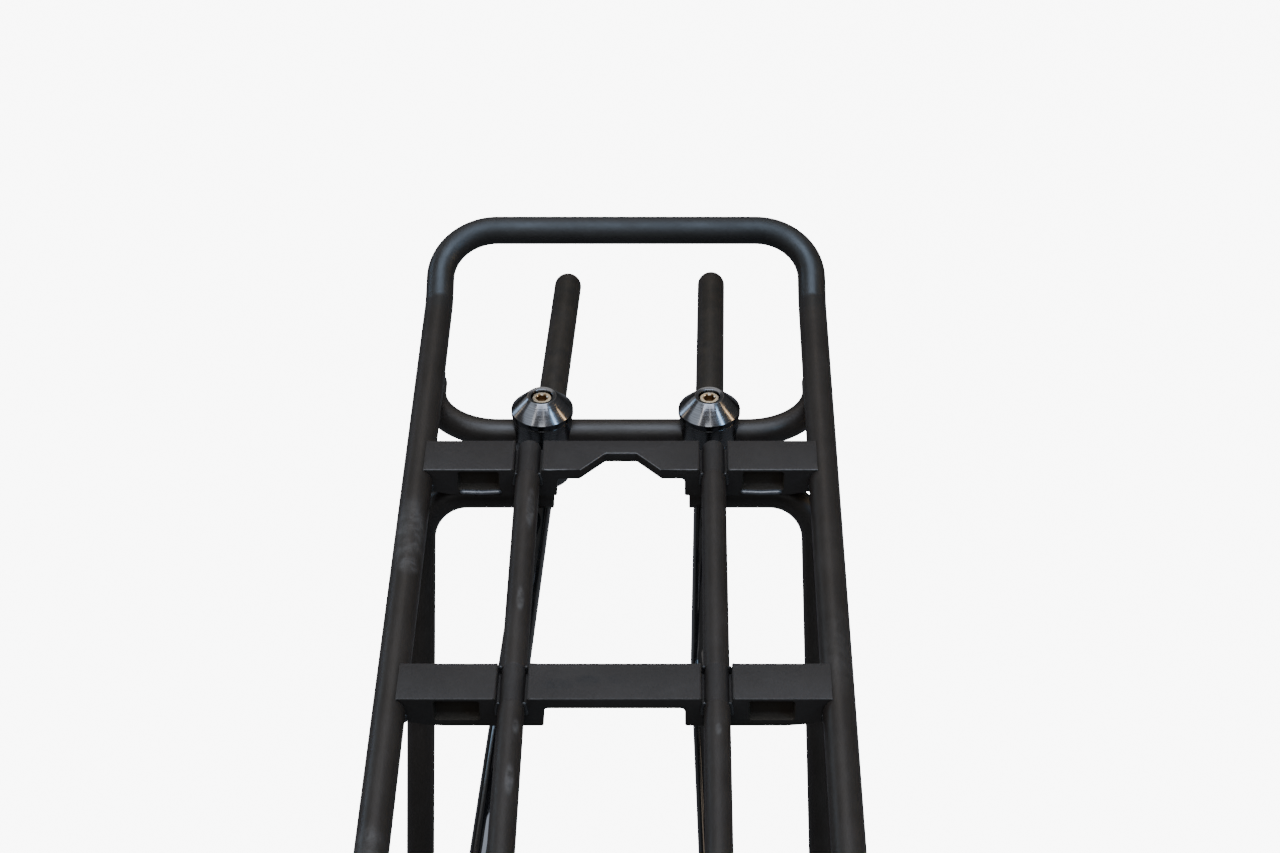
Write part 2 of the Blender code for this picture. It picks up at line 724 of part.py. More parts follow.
def foot(side):
    sign = SIDE_SIGNS[side]
    centre = Vector((sign * FOOT_X, 0, FOOT_BOLT_Z))
    outward = Vector((sign, 0, 0))
    plate = prism(f"foot_plate_{side}", foot_outline(),
                  lambda u, v, w: (centre.x - FOOT_HALF_T + w, u, v), 2 * FOOT_HALF_T,
                  FOOT_FINISH)
    boss = helper_rod(f"foot_boss_{side}", centre, centre - outward * (FOOT_HALF_T + BOSS_H),
                      BOSS_R, steps=BOSS_STEPS)
    boolean(plate, boss, "UNION")
    # always drilled towards +X
    reach = Vector((FOOT_HOLE_HALF_LEN, 0, 0))
    hole = helper_rod(f"foot_hole_{side}", centre - reach, centre + reach, BOLT_HOLE_R,
                      steps=FASTENER_STEPS)
    boolean(plate, hole)
    washer_and_bolt("foot", side, centre + outward * FOOT_HALF_T, outward, FOOT_BOLT_LEN)


def main():
    clear_scene()
    deck_tube()
    crossplate("crossplate_rear", PITCH, ("front",), notched=True)
    crossplate("crossplate_middle", 0.0, ("front", "rear"))
    crossplate("crossplate_front", -PITCH, ("rear",))
    clamp_bar()
    for side in SIDE_SIGNS:
        for end in END_SIGNS:
            rail(side, end)
            leg(side, end)
        swivel = swivel_axis(side)
        clamp(side, swivel)
        stay(side, swivel)
        foot(side)


main()
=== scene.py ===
"""A rear rack: tubular deck, three crossplates, four legs and two swivelling stays.

+Y points to the rack's rear, -X is its left and +Z is up. The crossplates' tops lie at
z = 0 and the middle plate at y = 0. Shapes are written in millimetres and scaled to
metres as they become meshes; materials, lights and the camera are in metres.
"""
import itertools
import math

import bmesh
import bpy
from mathutils import Matrix, Vector, noise


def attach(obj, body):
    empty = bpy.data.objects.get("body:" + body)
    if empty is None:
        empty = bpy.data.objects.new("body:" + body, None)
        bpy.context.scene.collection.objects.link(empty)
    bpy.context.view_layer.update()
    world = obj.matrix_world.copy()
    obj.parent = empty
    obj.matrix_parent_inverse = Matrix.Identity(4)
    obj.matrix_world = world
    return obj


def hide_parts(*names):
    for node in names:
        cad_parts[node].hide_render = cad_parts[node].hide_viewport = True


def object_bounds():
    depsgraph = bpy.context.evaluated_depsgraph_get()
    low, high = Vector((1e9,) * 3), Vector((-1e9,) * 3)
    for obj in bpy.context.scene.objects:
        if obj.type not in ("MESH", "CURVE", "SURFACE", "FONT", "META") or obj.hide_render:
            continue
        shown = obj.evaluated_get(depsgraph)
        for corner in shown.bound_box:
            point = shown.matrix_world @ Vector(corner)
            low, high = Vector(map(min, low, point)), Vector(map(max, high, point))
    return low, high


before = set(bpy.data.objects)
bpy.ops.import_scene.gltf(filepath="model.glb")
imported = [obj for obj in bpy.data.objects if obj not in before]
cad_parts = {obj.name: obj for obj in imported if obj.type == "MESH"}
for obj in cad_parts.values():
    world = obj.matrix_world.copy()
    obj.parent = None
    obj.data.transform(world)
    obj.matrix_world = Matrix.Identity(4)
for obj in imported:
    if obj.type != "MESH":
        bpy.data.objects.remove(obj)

CAD_LO, CAD_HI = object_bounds()
MM = 0.001
SIDES = (("left", -1), ("right", 1))
ENDS = (("rear", 1), ("front", -1))

# deck loop
TUBE_R, HALF_W, DECK_Z = 6.35, 85.0, -6.35
DECK_FRONT_Y, RISE_Y = -185, 259
TAIL_Y, TAIL_Z = 294.6, 10.25

# crossplates
PITCH, PLATE_HALF_Y, BLOCK_Z, CENTRE_Z = 139.0, 10.0, -13.8, -4.8
PLATES = (("rear", PITCH), ("middle", 0.0), ("front", -PITCH))
GROOVE_IN_X, GROOVE_OUT_X, GROOVE_Z = 33.0, 44.6, -5.2
POCKET_IN_X, POCKET_OUT_X, POCKET_LOW_Z, POCKET_TOP_Z = 51, 68, -10.6, -1.3
NOTCH_MOUTH_HALF, NOTCH_FLOOR_HALF, NOTCH_DEPTH = 16.7, 6.55, 11.2

# rails and cross tube
RAIL_X, RAIL_R, RIB_R = 38.8, 5.1, 4.7
BAR_R, BAR_Y, BAR_Z, BAR_END_Y = 6.0, 179.0, -19.0, 218

# clamps and stays; yaw and splay in degrees
CLAMP_X = {"left": -34.8, "right": 37.4}
CLAMP_R, SADDLE_GAP = 12.8, 0.12
STAY_R, STAY_Z = 6.35, -35.0
STAY_OFF_X = {"left": -0.5, "right": 0.0}
STAY_YAW = {"left": 2.7, "right": 0.9}
STAY_REAR_Y = {"left": 321.0, "right": 322.2}
STAY_BEND_Y, STAY_DROP, STAY_FRONT_LENGTH = 47.0, 15, 330
STAY_SPLAY = {"left": 5.3, "right": -2.0}
TAPER_BACK, TAPER_LENGTH = 46, 20
TAB_HALF_T, TAB_R, TAB_CORNER = 2.25, 8.5, 0.9

# legs and feet
LEG_R, LEG_Y, STUB_Z = 6.0, 138, -20.1
LEG_OUT_X = {"left": 84.6, "right": 81.8}
KNEE_X = {"left": 91.0, "right": 89.6}
FOOT_X, FOOT_HALF_T, FOOT_TOP_Z, FOOT_BOLT_Z, FOOT_LOBE_R = 76.5, 2.5, -304.5, -346.0, 10.5

# fasteners
HOLE_R, BOLT_R, HEAD_R, HEAD_H = 2.75, 2.35, 4.25, 5.0
WASHER_R, WASHER_T = 5, 1.0


# ------------------------------------------------------------------ geometry

def smooth(obj, angle=28.0):
    """Shades smooth, with sharp edges where faces meet at more than angle degrees."""
    obj.data.shade_smooth()
    obj.data.set_sharp_from_angle(angle=math.radians(angle))


def register(obj, body=None, node=None, slot=None):
    if body:
        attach(obj, body)
    if node:
        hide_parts(node)


def finish_cut(obj, body, node, slot):
    smooth(obj)
    register(obj, body, node, slot)


def mesh_object(name, shape, material=None, sharp=32.0, scale=MM, **told):
    """Turns a bmesh into an object; told goes to register."""
    bmesh.ops.recalc_face_normals(shape, faces=shape.faces)
    bmesh.ops.scale(shape, vec=(scale, scale, scale), verts=shape.verts)
    mesh = bpy.data.meshes.new(name)
    shape.to_mesh(mesh)
    shape.free()
    obj = bpy.data.objects.new(name, mesh)
    bpy.context.scene.collection.objects.link(obj)
    if material is not None:
        mesh.materials.append(material)
    smooth(obj, sharp)
    register(obj, **told)
    return obj


def cut(obj, tool):
    """Subtracts tool from obj, applies the result and removes tool."""
    modifier = obj.modifiers.new("cut", "BOOLEAN")
    modifier.operation = "DIFFERENCE"
    modifier.solver = "EXACT"
    modifier.object = tool
    bpy.context.view_layer.update()
    graph = bpy.context.evaluated_depsgraph_get()
    graph.update()
    result = bpy.data.meshes.new_from_object(obj.evaluated_get(graph), depsgraph=graph)
    old = obj.data
    obj.modifiers.clear()
    obj.data = result
    bpy.data.meshes.remove(old)
    bpy.data.objects.remove(tool)


def rounded(points, radii, step=4.0, closed=False):
    """Replaces each corner of a path by an arc, a point every step degrees."""
    points = [Vector(point) for point in points]
    result = []
    count = len(points)
    for i, corner in enumerate(points):
        if not closed and i in (0, count - 1):
            result.append(corner)
            continue
        before = (corner - points[(i - 1) % count]).normalized()
        after = (points[(i + 1) % count] - corner).normalized()
        turn = before.angle(after)
        if radii[i] <= 0 or turn < 1e-4:
            result.append(corner)
            continue
        start = corner - before * (radii[i] * math.tan(turn / 2))
        centre = corner + (after - before).normalized() * (radii[i] / math.cos(turn / 2))
        axis = before.cross(after).normalized()
        parts = max(2, math.ceil(math.degrees(turn) / step))
        for k in range(parts + 1):
            spin = Matrix.Rotation(turn * k / parts, 3, axis)
            result.append(centre + spin @ (start - centre))
    return result


def section(half_width, half_height, corner, sides):
    """A rounded rectangle as 2D points."""
    per_corner = sides // 4
    points = []
    for quarter in range(4):
        sign_u = 1 if quarter in (0, 3) else -1
        sign_v = 1 if quarter in (0, 1) else -1
        for k in range(per_corner):
            angle = math.radians(90 * quarter + (k + 0.5) * 90 / per_corner)
            points.append((sign_u * (half_width - corner) + corner * math.cos(angle),
                           sign_v * (half_height - corner) + corner * math.sin(angle)))
    return points


def frames_along(points, normal, closed=False):
    """Side, up and tangent vectors at each point of a path."""
    count = len(points)
    result = []
    for i, point in enumerate(points):
        if closed:
            back, ahead = points[(i - 1) % count], points[(i + 1) % count]
        else:
            back, ahead = points[max(i - 1, 0)], points[min(i + 1, count - 1)]
        tangent = Vector()
        for run in (point - back, ahead - point):
            if run.length > 1e-9:
                tangent += run.normalized()
        tangent.normalize()
        side = tangent.cross(Vector(normal)).normalized()
        result.append((side, side.cross(tangent).normalized(), tangent))
    return result


def ring(centre, axes, outline, radius=1.0, flat=1.0):
    """Places a 2D outline across a path, its height scaled by flat."""
    return [centre + axes[0] * u * radius + axes[1] * v * radius * flat for u, v in outline]


def loft(rings, closed=False):
    """Skins a list of rings; an open skin gets a cap at each end."""
    shape = bmesh.new()
    loops = [[shape.verts.new(point) for point in points] for points in rings]
    pairs = list(zip(loops, loops[1:]))
    if closed:
        pairs.append((loops[-1], loops[0]))
    for near, far in pairs:
        count = len(near)
        for k in range(count):
            j = (k + 1) % count
            shape.faces.new((near[k], near[j], far[j], far[k]))
    if not closed:
        shape.faces.new(list(reversed(loops[0])))
        shape.faces.new(loops[-1])
    return shape


def denser(points, closed=False, longest=14.0):
    """Splits long straight runs, so that no quad is a long sliver."""
    result = []
    count = len(points)
    for i in range(count if closed else count - 1):
        start, end = points[i], points[(i + 1) % count]
        result.append(start)
        parts = max(1, math.ceil((end - start).length / longest))
        for k in range(1, parts):
            result.append(start.lerp(end, k / parts))
    if not closed:
        result.append(points[-1])
    return result


def round_end(radius, ease):
    """(radius, inset) of the rings that ease a tube's end edge."""
    rows = []
    for k in range(4):
        angle = math.radians(90 * k / 4)
        rows.append((radius - ease + ease * math.sin(angle), ease * (1 - math.cos(angle))))
    return rows + [(radius, ease)]


def open_end(radius, bore):
    """(radius, inset) of the rings from inside a tube's bore out over its lip."""
    return [(bore, 18.0), (bore, 9.0), (bore, 0.25), (bore + 0.22, 0.0),
            (radius - 0.45, 0.0), (radius - 0.13, 0.12), (radius, 0.5)]


def tube(name, points, radius, material, normal=(0, 0, 1), closed=False, sides=48,
         eases=(0.5, 0.5), bore=None, **told):
    """A round tube on a path. eases soften the two ends' edges; bore opens the start."""
    points = denser(points, closed)
    frames = frames_along(points, normal, closed)
    circle = section(1, 1, 1, sides)
    stations = [(point, axes, radius, 0.0) for point, axes in zip(points, frames)]
    if not closed:
        start = open_end(radius, bore) if bore else round_end(radius, eases[0])
        end = reversed(round_end(radius, eases[1]))
        stations = ([(points[0], frames[0], size, inset) for size, inset in start]
                    + stations[1:-1]
                    + [(points[-1], frames[-1], size, -inset) for size, inset in end])
    rings = [ring(point + axes[2] * shift, axes, circle, size)
             for point, axes, size, shift in stations]
    return mesh_object(name, loft(rings, closed), material, **told)


def soften(profile, radius, closed):
    """Rounds the corners of a turned profile."""
    points = [Vector((r, 0, z)) for r, z in profile]
    count = len(points)
    radii = []
    for i in range(count):
        if not closed and i in (0, count - 1):
            radii.append(0)
            continue
        before = points[i] - points[i - 1]
        after = points[(i + 1) % count] - points[i]
        reach = min(before.length, after.length) * 0.42
        largest = reach / max(math.tan(before.angle(after, 0) / 2), 1e-3)
        radii.append(min(radius, largest))
    return [(point.x, point.z) for point in rounded(points, radii, step=22, closed=closed)]


def turned(name, profile, origin, direction, material=None, bored=False, steps=96,
           round_by=0.25, **told):
    """Spins (radius, height) points about direction; bored joins the last to the first."""
    if round_by:
        profile = soften(profile, round_by, bored)
    shape = bmesh.new()
    turn = Vector((0, 0, 1)).rotation_difference(Vector(direction).normalized())
    place = Matrix.Translation(Vector(origin)) @ turn.to_matrix().to_4x4()
    rows = []
    for radius, z in profile:
        if radius < 1e-9:
            rows.append([shape.verts.new(place @ Vector((0, 0, z)))])
            continue
        angles = [math.tau * k / steps for k in range(steps)]
        rows.append([shape.verts.new(place @ Vector((radius * math.cos(angle),
                                                     radius * math.sin(angle), z)))
                     for angle in angles])
    pairs = list(zip(rows, rows[1:]))
    if bored:
        pairs.append((rows[-1], rows[0]))
    for low, high in pairs:
        for k in range(steps):
            j = (k + 1) % steps
            if len(low) == 1 and len(high) > 1:
                shape.faces.new((low[0], high[j], high[k]))
            elif len(high) == 1 and len(low) > 1:
                shape.faces.new((low[k], low[j], high[0]))
            elif len(low) > 1:
                shape.faces.new((low[k], low[j], high[j], high[k]))
    return mesh_object(name, shape, material, **told)


def rod_tool(start, end, radius, steps=64):
    start, end = Vector(start), Vector(end)
    length = (end - start).length
    return turned("tool", [(0, 0), (radius, 0), (radius, length), (0, length)],
                  start, end - start, steps=steps, round_by=0)


def box_tool(low, high):
    shape = bmesh.new()
    bmesh.ops.create_cube(shape, size=1.0)
    for vert in shape.verts:
        vert.co = Vector(((low[i] + high[i]) / 2 + vert.co[i] * (high[i] - low[i])
                          for i in range(3)))
    return mesh_object("tool", shape)


def outline_2d(corners, step=12.0):
    """Turns (u, v, corner radius) into a closed list of 2D points."""
    points = rounded([(u, v, 0) for u, v, _ in corners], [corner[2] for corner in corners],
                     step, True)
    return [(point.x, point.y) for point in points]


def bevel(shape, edges, offset, clamp=True):
    bmesh.ops.bevel(shape, geom=edges, offset=offset, segments=3, profile=0.5,
                    affect="EDGES", clamp_overlap=clamp)


def bevel_where(obj, wanted, offset, clamp):
    """Bevels the edges of an object's mesh for which wanted(edge) holds."""
    shape = bmesh.new()
    shape.from_mesh(obj.data)
    shape.normal_update()
    bevel(shape, [edge for edge in shape.edges if wanted(edge)], offset * MM, clamp)
    shape.to_mesh(obj.data)
    shape.free()
    smooth(obj)


def slab(loops, place, depth, rim_bevel=0):
    """Extrudes an outline with holes by depth; place maps (u, v, w) into the rack."""
    shape = bmesh.new()
    edges = []
    for loop in loops:
        verts = [shape.verts.new((u, v, 0)) for u, v in loop]
        for k in range(len(verts)):
            edges.append(shape.edges.new((verts[k], verts[(k + 1) % len(verts)])))
    bmesh.ops.triangle_fill(shape, edges=edges, use_beauty=True, use_dissolve=False)
    pushed = bmesh.ops.extrude_face_region(shape, geom=list(shape.faces))
    for item in pushed["geom"]:
        if isinstance(item, bmesh.types.BMVert):
            item.co.z = depth
    bmesh.ops.recalc_face_normals(shape, faces=shape.faces)
    shape.normal_update()
    if rim_bevel > 0:
        rim = [edge for edge in shape.edges
               if len(edge.link_faces) == 2
               and abs(edge.verts[0].co.z - edge.verts[1].co.z) < 1e-6
               and edge.calc_face_angle(0) > math.radians(60)]
        bevel(shape, rim, rim_bevel)
    for vert in shape.verts:
        vert.co = Vector(place(vert.co.x, vert.co.y, vert.co.z))
    return shape


# ----------------------------------------------------------------- materials

class Nodes:
    """A short way to write a node tree."""

    def __init__(self, name):
        self.mat = bpy.data.materials.new(name)
        self.mat.use_nodes = True
        self.tree = self.mat.node_tree
        self.bsdf = self.tree.nodes["Principled BSDF"]
        self.obj = self.add("ShaderNodeTexCoord").outputs["Object"]

    def add(self, kind, **values):
        node = self.tree.nodes.new(kind)
        for key, value in values.items():
            setattr(node, key, value)
        return node

    def link(self, source, target):
        self.tree.links.new(source, target)

    def feed(self, socket, value):
        """Links a socket, or sets a number or a colour."""
        if isinstance(value, bpy.types.NodeSocket):
            self.link(value, socket)
        elif isinstance(value, tuple):
            socket.default_value = (*value, 1.0)
        else:
            socket.default_value = value

    def noise(self, scale, detail=3.0, rough=0.55, vector=None, distortion=0.0):
        node = self.add("ShaderNodeTexNoise")
        node.inputs["Scale"].default_value = scale
        node.inputs["Detail"].default_value = detail
        node.inputs["Roughness"].default_value = rough
        node.inputs["Distortion"].default_value = distortion
        self.link(vector or self.obj, node.inputs["Vector"])
        return node.outputs["Fac"]

    def voronoi(self, scale):
        node = self.add("ShaderNodeTexVoronoi")
        node.inputs["Scale"].default_value = scale
        self.link(self.obj, node.inputs["Vector"])
        return node.outputs["Distance"]

    def remap(self, value, span, to=(0.0, 1.0), smooth=False):
        node = self.add("ShaderNodeMapRange")
        if smooth:
            node.interpolation_type = "SMOOTHSTEP"
        self.link(value, node.inputs["Value"])
        for key, number in zip(("From Min", "From Max", "To Min", "To Max"), (*span, *to)):
            node.inputs[key].default_value = number
        return node.outputs["Result"]

    def math(self, operation, first, second):
        node = self.add("ShaderNodeMath", operation=operation)
        self.feed(node.inputs[0], first)
        self.feed(node.inputs[1], second)
        return node.outputs[0]

    def times(self, first, second):
        return self.math("MULTIPLY", first, second)

    def plus(self, first, second):
        return self.math("ADD", first, second)

    def mix(self, amount, under, over):
        node = self.add("ShaderNodeMix", data_type="RGBA")
        self.feed(node.inputs[0], amount)
        self.feed(node.inputs[6], under)
        self.feed(node.inputs[7], over)
        return node.outputs[2]

    def mapped(self, location=(0, 0, 0), scale=(1, 1, 1)):
        """Object coordinates, moved so that location is the origin, then scaled."""
        shift = self.add("ShaderNodeVectorMath", operation="SUBTRACT")
        self.link(self.obj, shift.inputs[0])
        shift.inputs[1].default_value = location
        mapping = self.add("ShaderNodeMapping")
        mapping.inputs["Scale"].default_value = scale
        self.link(shift.outputs[0], mapping.inputs["Vector"])
        return mapping.outputs["Vector"]

    def length(self, vector):
        node = self.add("ShaderNodeVectorMath", operation="LENGTH")
        self.link(vector, node.inputs[0])
        return node.outputs["Value"]

    def split(self, vector):
        """The X, Y and Z outputs of a vector."""
        node = self.add("ShaderNodeSeparateXYZ")
        self.link(vector, node.inputs[0])
        return node.outputs

    def blob(self, centre, reach, soft):
        """1 inside an ellipsoid of half sizes reach, falling to 0 over its outer part."""
        vector = self.mapped(centre, tuple(1 / half for half in reach))
        return self.remap(self.length(vector), span=(1 - soft, 1.0), to=(1, 0), smooth=True)

    def bump(self, height, distance, after=None):
        node = self.add("ShaderNodeBump")
        node.inputs["Strength"].default_value = 1.0
        node.inputs["Distance"].default_value = distance
        self.link(height, node.inputs["Height"])
        if after is not None:
            self.link(after, node.inputs["Normal"])
        return node.outputs["Normal"]

    def set(self, **values):
        names = {"base": "Base Color", "rough": "Roughness", "metal": "Metallic",
                 "normal": "Normal", "coat": "Coat Weight", "coat_rough": "Coat Roughness",
                 "spec": "Specular IOR Level", "tint": "Specular Tint"}
        for key, value in values.items():
            self.feed(self.bsdf.inputs[names[key]], value)


def toned(colour, factor, lift=0.0):
    return tuple(channel * factor + lift for channel in colour)


def dusted(nodes, colour, wear):
    """Adds pale flecks of dust and a faint haze."""
    dust = nodes.noise(scale=240, detail=5, rough=0.7)
    fleck = nodes.times(nodes.remap(nodes.voronoi(scale=310), span=(0.05, 0.13), to=(1, 0)),
                        nodes.remap(dust, span=(0.56, 0.66)))
    colour = nodes.mix(nodes.times(fleck, 0.20 * wear), colour, over=(0.16, 0.155, 0.15))
    haze = nodes.noise(scale=60, detail=5, rough=0.65)
    return nodes.mix(nodes.remap(haze, span=(0.48, 0.78), to=(0.0, 0.10)), colour,
                     over=(0.075, 0.073, 0.070))


def scratched(nodes, colour, wear):
    """Adds fine scratches drawn out along Y."""
    streak = nodes.noise(scale=1.0, detail=4, rough=0.6,
                         vector=nodes.mapped(scale=(1500, 45, 1500)))
    scratch = nodes.times(nodes.remap(streak, span=(0.70, 0.76)),
                          nodes.remap(nodes.noise(scale=35, detail=2), span=(0.55, 0.7)))
    return nodes.mix(nodes.times(scratch, 0.30 * wear), colour, over=(0.15, 0.148, 0.145))


def patched(nodes, colour, roughness, centre, reach, strength, tint):
    """Adds one broken patch of another colour, a little rougher than the rest."""
    patch = nodes.blob(centre, reach, soft=0.55)
    grain = nodes.noise(scale=150, detail=6, rough=0.72, distortion=0.6)
    broken = nodes.remap(grain, span=(0.38, 0.62), to=(0.15, 1.0))
    patch = nodes.times(nodes.times(patch, broken), strength)
    colour = nodes.mix(patch, colour, over=tint)
    return colour, nodes.plus(roughness, nodes.times(patch, 0.10))


def tail_dulling_and_blue_sheen(nodes, roughness, spec, dulling):
    """Dulls the deck's tail bar and gives its raised end a painted blue sheen: its reflections
    are tinted blue.
    """
    y = nodes.split(nodes.obj)["Y"]
    roughness = nodes.plus(
        roughness, nodes.remap(y, span=(0.278, 0.288), to=(0.0, dulling), smooth=True))
    raised = nodes.remap(y, span=(0.244, 0.252), smooth=True)
    # Painted blue sheen: the raised end's reflections are tinted blue.
    tint = nodes.mix(raised, (1.0, 1.0, 1.0), over=(0.74, 0.89, 1.0))
    return roughness, nodes.remap(raised, span=(0.0, 1.0), to=(spec, spec * 1.22)), tint


def painted_edge_highlight(nodes, colour, roughness, strength):
    """Paints a highlight along the front top edges: only where a face leans both up and
    forward, fullest on the rear plate.
    """
    normal = nodes.split(nodes.add("ShaderNodeNewGeometry").outputs["True Normal"])
    lean = nodes.math("MINIMUM", nodes.times(normal["Y"], -1.0), normal["Z"])
    line = nodes.remap(lean, span=(0.18, 0.42), smooth=True)
    # The painted highlight is full on the rear plate and about a third as strong on the
    # others.
    far = nodes.remap(nodes.split(nodes.obj)["Y"], span=(0.05, 0.11), to=(0.30, 1.0))
    broken = nodes.remap(nodes.noise(scale=420, detail=4), span=(0.3, 0.6),
                         to=(strength * 0.75, strength))
    line = nodes.times(nodes.times(line, far), broken)
    colour = nodes.mix(line, colour, over=(0.165, 0.162, 0.158))
    return colour, nodes.math("SUBTRACT", roughness, nodes.times(line, 0.18))


def powder(name, base, rough, grain=(1900, 0.00003), peel=(420, 0.00006), spots=(),
           wear=0.5, spec=0.5, edge=0.0, tail=0.0):
    """Powder coat. grain and peel are (noise scale, bump distance); wear scales flecks
    and scratches, edge is the strength of a painted highlight along front top edges, tail
    the tail bar's dulling, which also brings a painted blue sheen on its raised end."""
    nodes = Nodes(name)
    colour = nodes.mix(nodes.remap(nodes.noise(scale=22), span=(0.3, 0.7)),
                       toned(base, 0.80), over=toned(base, 1.22, lift=0.001))
    colour = dusted(nodes, colour, wear)
    roughness = nodes.remap(nodes.noise(scale=90, detail=4), span=(0.3, 0.7),
                            to=(rough - 0.05, rough + 0.07))
    colour = scratched(nodes, colour, wear)
    for spot in spots:
        colour, roughness = patched(nodes, colour, roughness, *spot)
    tint = (1.0, 1.0, 1.0)
    if tail:
        roughness, spec, tint = tail_dulling_and_blue_sheen(nodes, roughness, spec, tail)
    # edge paints a highlight along the front top edges.
    if edge:
        colour, roughness = painted_edge_highlight(nodes, colour, roughness, edge)
    coarse = nodes.bump(nodes.noise(scale=peel[0], detail=2, rough=0.5), distance=peel[1])
    normal = nodes.bump(nodes.noise(scale=grain[0], detail=2, rough=0.6), distance=grain[1],
                        after=coarse)
    nodes.set(base=colour, rough=roughness, normal=normal, metal=0.0, spec=spec, tint=tint)
    return nodes.mat


def gloss(name):
    """Smooth glossy black, dulled in patches, with dusty rear ends."""
    nodes = Nodes(name)
    smear = nodes.noise(scale=55, detail=5, rough=0.62, distortion=0.8)
    rough = nodes.remap(smear, span=(0.35, 0.75), to=(0.06, 0.16))
    colour = nodes.mix(nodes.remap(smear, span=(0.5, 0.8), to=(0, 0.5)),
                       (0.006, 0.006, 0.0065), over=(0.03, 0.028, 0.025))
    back = nodes.remap(nodes.split(nodes.obj)["Y"], span=(0.196, 0.206), smooth=True)
    dust = nodes.noise(scale=140, detail=6, rough=0.7)
    grime = nodes.times(back, nodes.remap(dust, span=(0.35, 0.65), to=(0.35, 0.90)))
    colour = nodes.mix(grime, colour, over=(0.033, 0.026, 0.0185))
    rough = nodes.plus(rough, nodes.times(back, 0.36))
    coat = nodes.remap(back, span=(0.0, 1.0), to=(0.35, 0.0))
    fleck = nodes.times(
        nodes.remap(nodes.voronoi(scale=260), span=(0.05, 0.12), to=(1, 0)),
        nodes.remap(nodes.noise(scale=120), span=(0.56, 0.68), to=(0, 0.5)))
    colour = nodes.mix(fleck, colour, over=(0.10, 0.095, 0.085))
    waves = nodes.bump(nodes.noise(scale=120, detail=2), distance=0.00004)
    normal = nodes.bump(nodes.noise(scale=900), distance=0.000006, after=waves)
    nodes.set(base=colour, rough=rough, metal=0.0, spec=0.55, coat=coat, coat_rough=0.05,
              normal=normal)
    return nodes.mat


def lathe(name, centre, base, rough, rim=None):
    """Turned and anodised metal: tool rings about a vertical axis through centre.

    rim is a painted shade: the darker colour given to faces that don't look up."""
    ring_pitch = 0.00022
    nodes = Nodes(name)
    radius = nodes.length(nodes.mapped(centre, scale=(1, 1, 0)))
    along = nodes.plus(radius, nodes.times(nodes.split(nodes.obj)["Z"], 0.7))
    combined = nodes.add("ShaderNodeCombineXYZ")
    nodes.link(nodes.times(along, 1 / ring_pitch), combined.inputs[0])
    rings = nodes.noise(scale=1.0, detail=3, rough=0.6, vector=combined.outputs[0])
    colour = nodes.mix(nodes.remap(rings, span=(0.3, 0.7)), toned(base, 0.8),
                       over=toned(base, 1.5))
    haze = nodes.noise(scale=300, detail=5, rough=0.7)
    colour = nodes.mix(nodes.remap(haze, span=(0.55, 0.75), to=(0, 0.25)), colour,
                       over=(0.12, 0.115, 0.11))
    if rim:
        # Painted shade: faces that don't look up take the darker rim colour.
        normal = nodes.split(nodes.add("ShaderNodeNewGeometry").outputs["Normal"])
        painted_side_shade = nodes.remap(normal["Z"], span=(0.25, 0.55), to=(1, 0), smooth=True)
        colour = nodes.mix(painted_side_shade, colour, over=rim)
    roughness = nodes.plus(
        nodes.remap(rings, span=(0.3, 0.7), to=(rough - 0.05, rough + 0.06)),
        nodes.remap(nodes.noise(scale=180), span=(0.4, 0.7), to=(0.0, 0.08)))
    nodes.set(base=colour, rough=roughness, metal=1.0, spec=0.6,
              normal=nodes.bump(rings, distance=0.000008))
    return nodes.mat


def stainless(name, base, rough):
    """Bare steel with brown grime in small patches."""
    nodes = Nodes(name)
    tone = nodes.noise(scale=500, detail=4, rough=0.6)
    grime = nodes.noise(scale=900, detail=5, rough=0.7)
    colour = nodes.mix(nodes.remap(tone, span=(0.3, 0.7)), toned(base, 0.85),
                       over=toned(base, 1.12))
    colour = nodes.mix(nodes.remap(grime, span=(0.56, 0.74), to=(0, 0.5)), colour,
                       over=(0.20, 0.16, 0.11))
    roughness = nodes.remap(tone, span=(0.3, 0.7), to=(rough - 0.06, rough + 0.12))
    nodes.set(base=colour, rough=roughness, metal=1.0,
              normal=nodes.bump(nodes.noise(scale=2600), distance=0.000008))
    return nodes.mat


def weld_paint(name, base):
    nodes = Nodes(name)
    colour = nodes.mix(nodes.remap(nodes.noise(scale=180, detail=4), span=(0.35, 0.7)), base,
                       over=toned(base, 1.8, lift=0.006))
    rough = nodes.remap(nodes.noise(scale=300), span=(0.3, 0.7), to=(0.20, 0.36))
    nodes.set(base=colour, rough=rough, spec=0.6,
              normal=nodes.bump(nodes.noise(scale=1200), distance=0.00004))
    return nodes.mat


PAINT = (0.0196, 0.0159, 0.0130)
RUB = (0.115, 0.113, 0.110)
SHADE = (0.009, 0.009, 0.0095)

# patches: centre, half sizes, strength, colour
FRAME_SPOTS = (
    ((-0.085, 0.090, -0.002), (0.009, 0.026, 0.010), 0.45, RUB),
    ((-0.0835, 0.068, 0.0), (0.005, 0.0065, 0.008), 0.70, RUB),
    ((-0.0865, -0.088, -0.001), (0.009, 0.016, 0.009), 0.45, RUB),
    ((0.0865, 0.018, -0.001), (0.008, 0.03, 0.009), 0.14, RUB),
)
RAIL_SPOTS = (
    ((-0.0365, 0.104, -0.001), (0.0022, 0.016, 0.004), 0.55, RUB),
    ((-0.0378, 0.048, 0.0), (0.0020, 0.009, 0.004), 0.60, RUB),
    ((-0.0372, -0.052, 0.0), (0.0022, 0.010, 0.004), 0.55, RUB),
    ((-0.0362, -0.024, 0.0), (0.0016, 0.005, 0.004), 0.50, RUB),
    ((0.0392, -0.026, 0.0), (0.0016, 0.004, 0.004), 0.40, RUB),
)
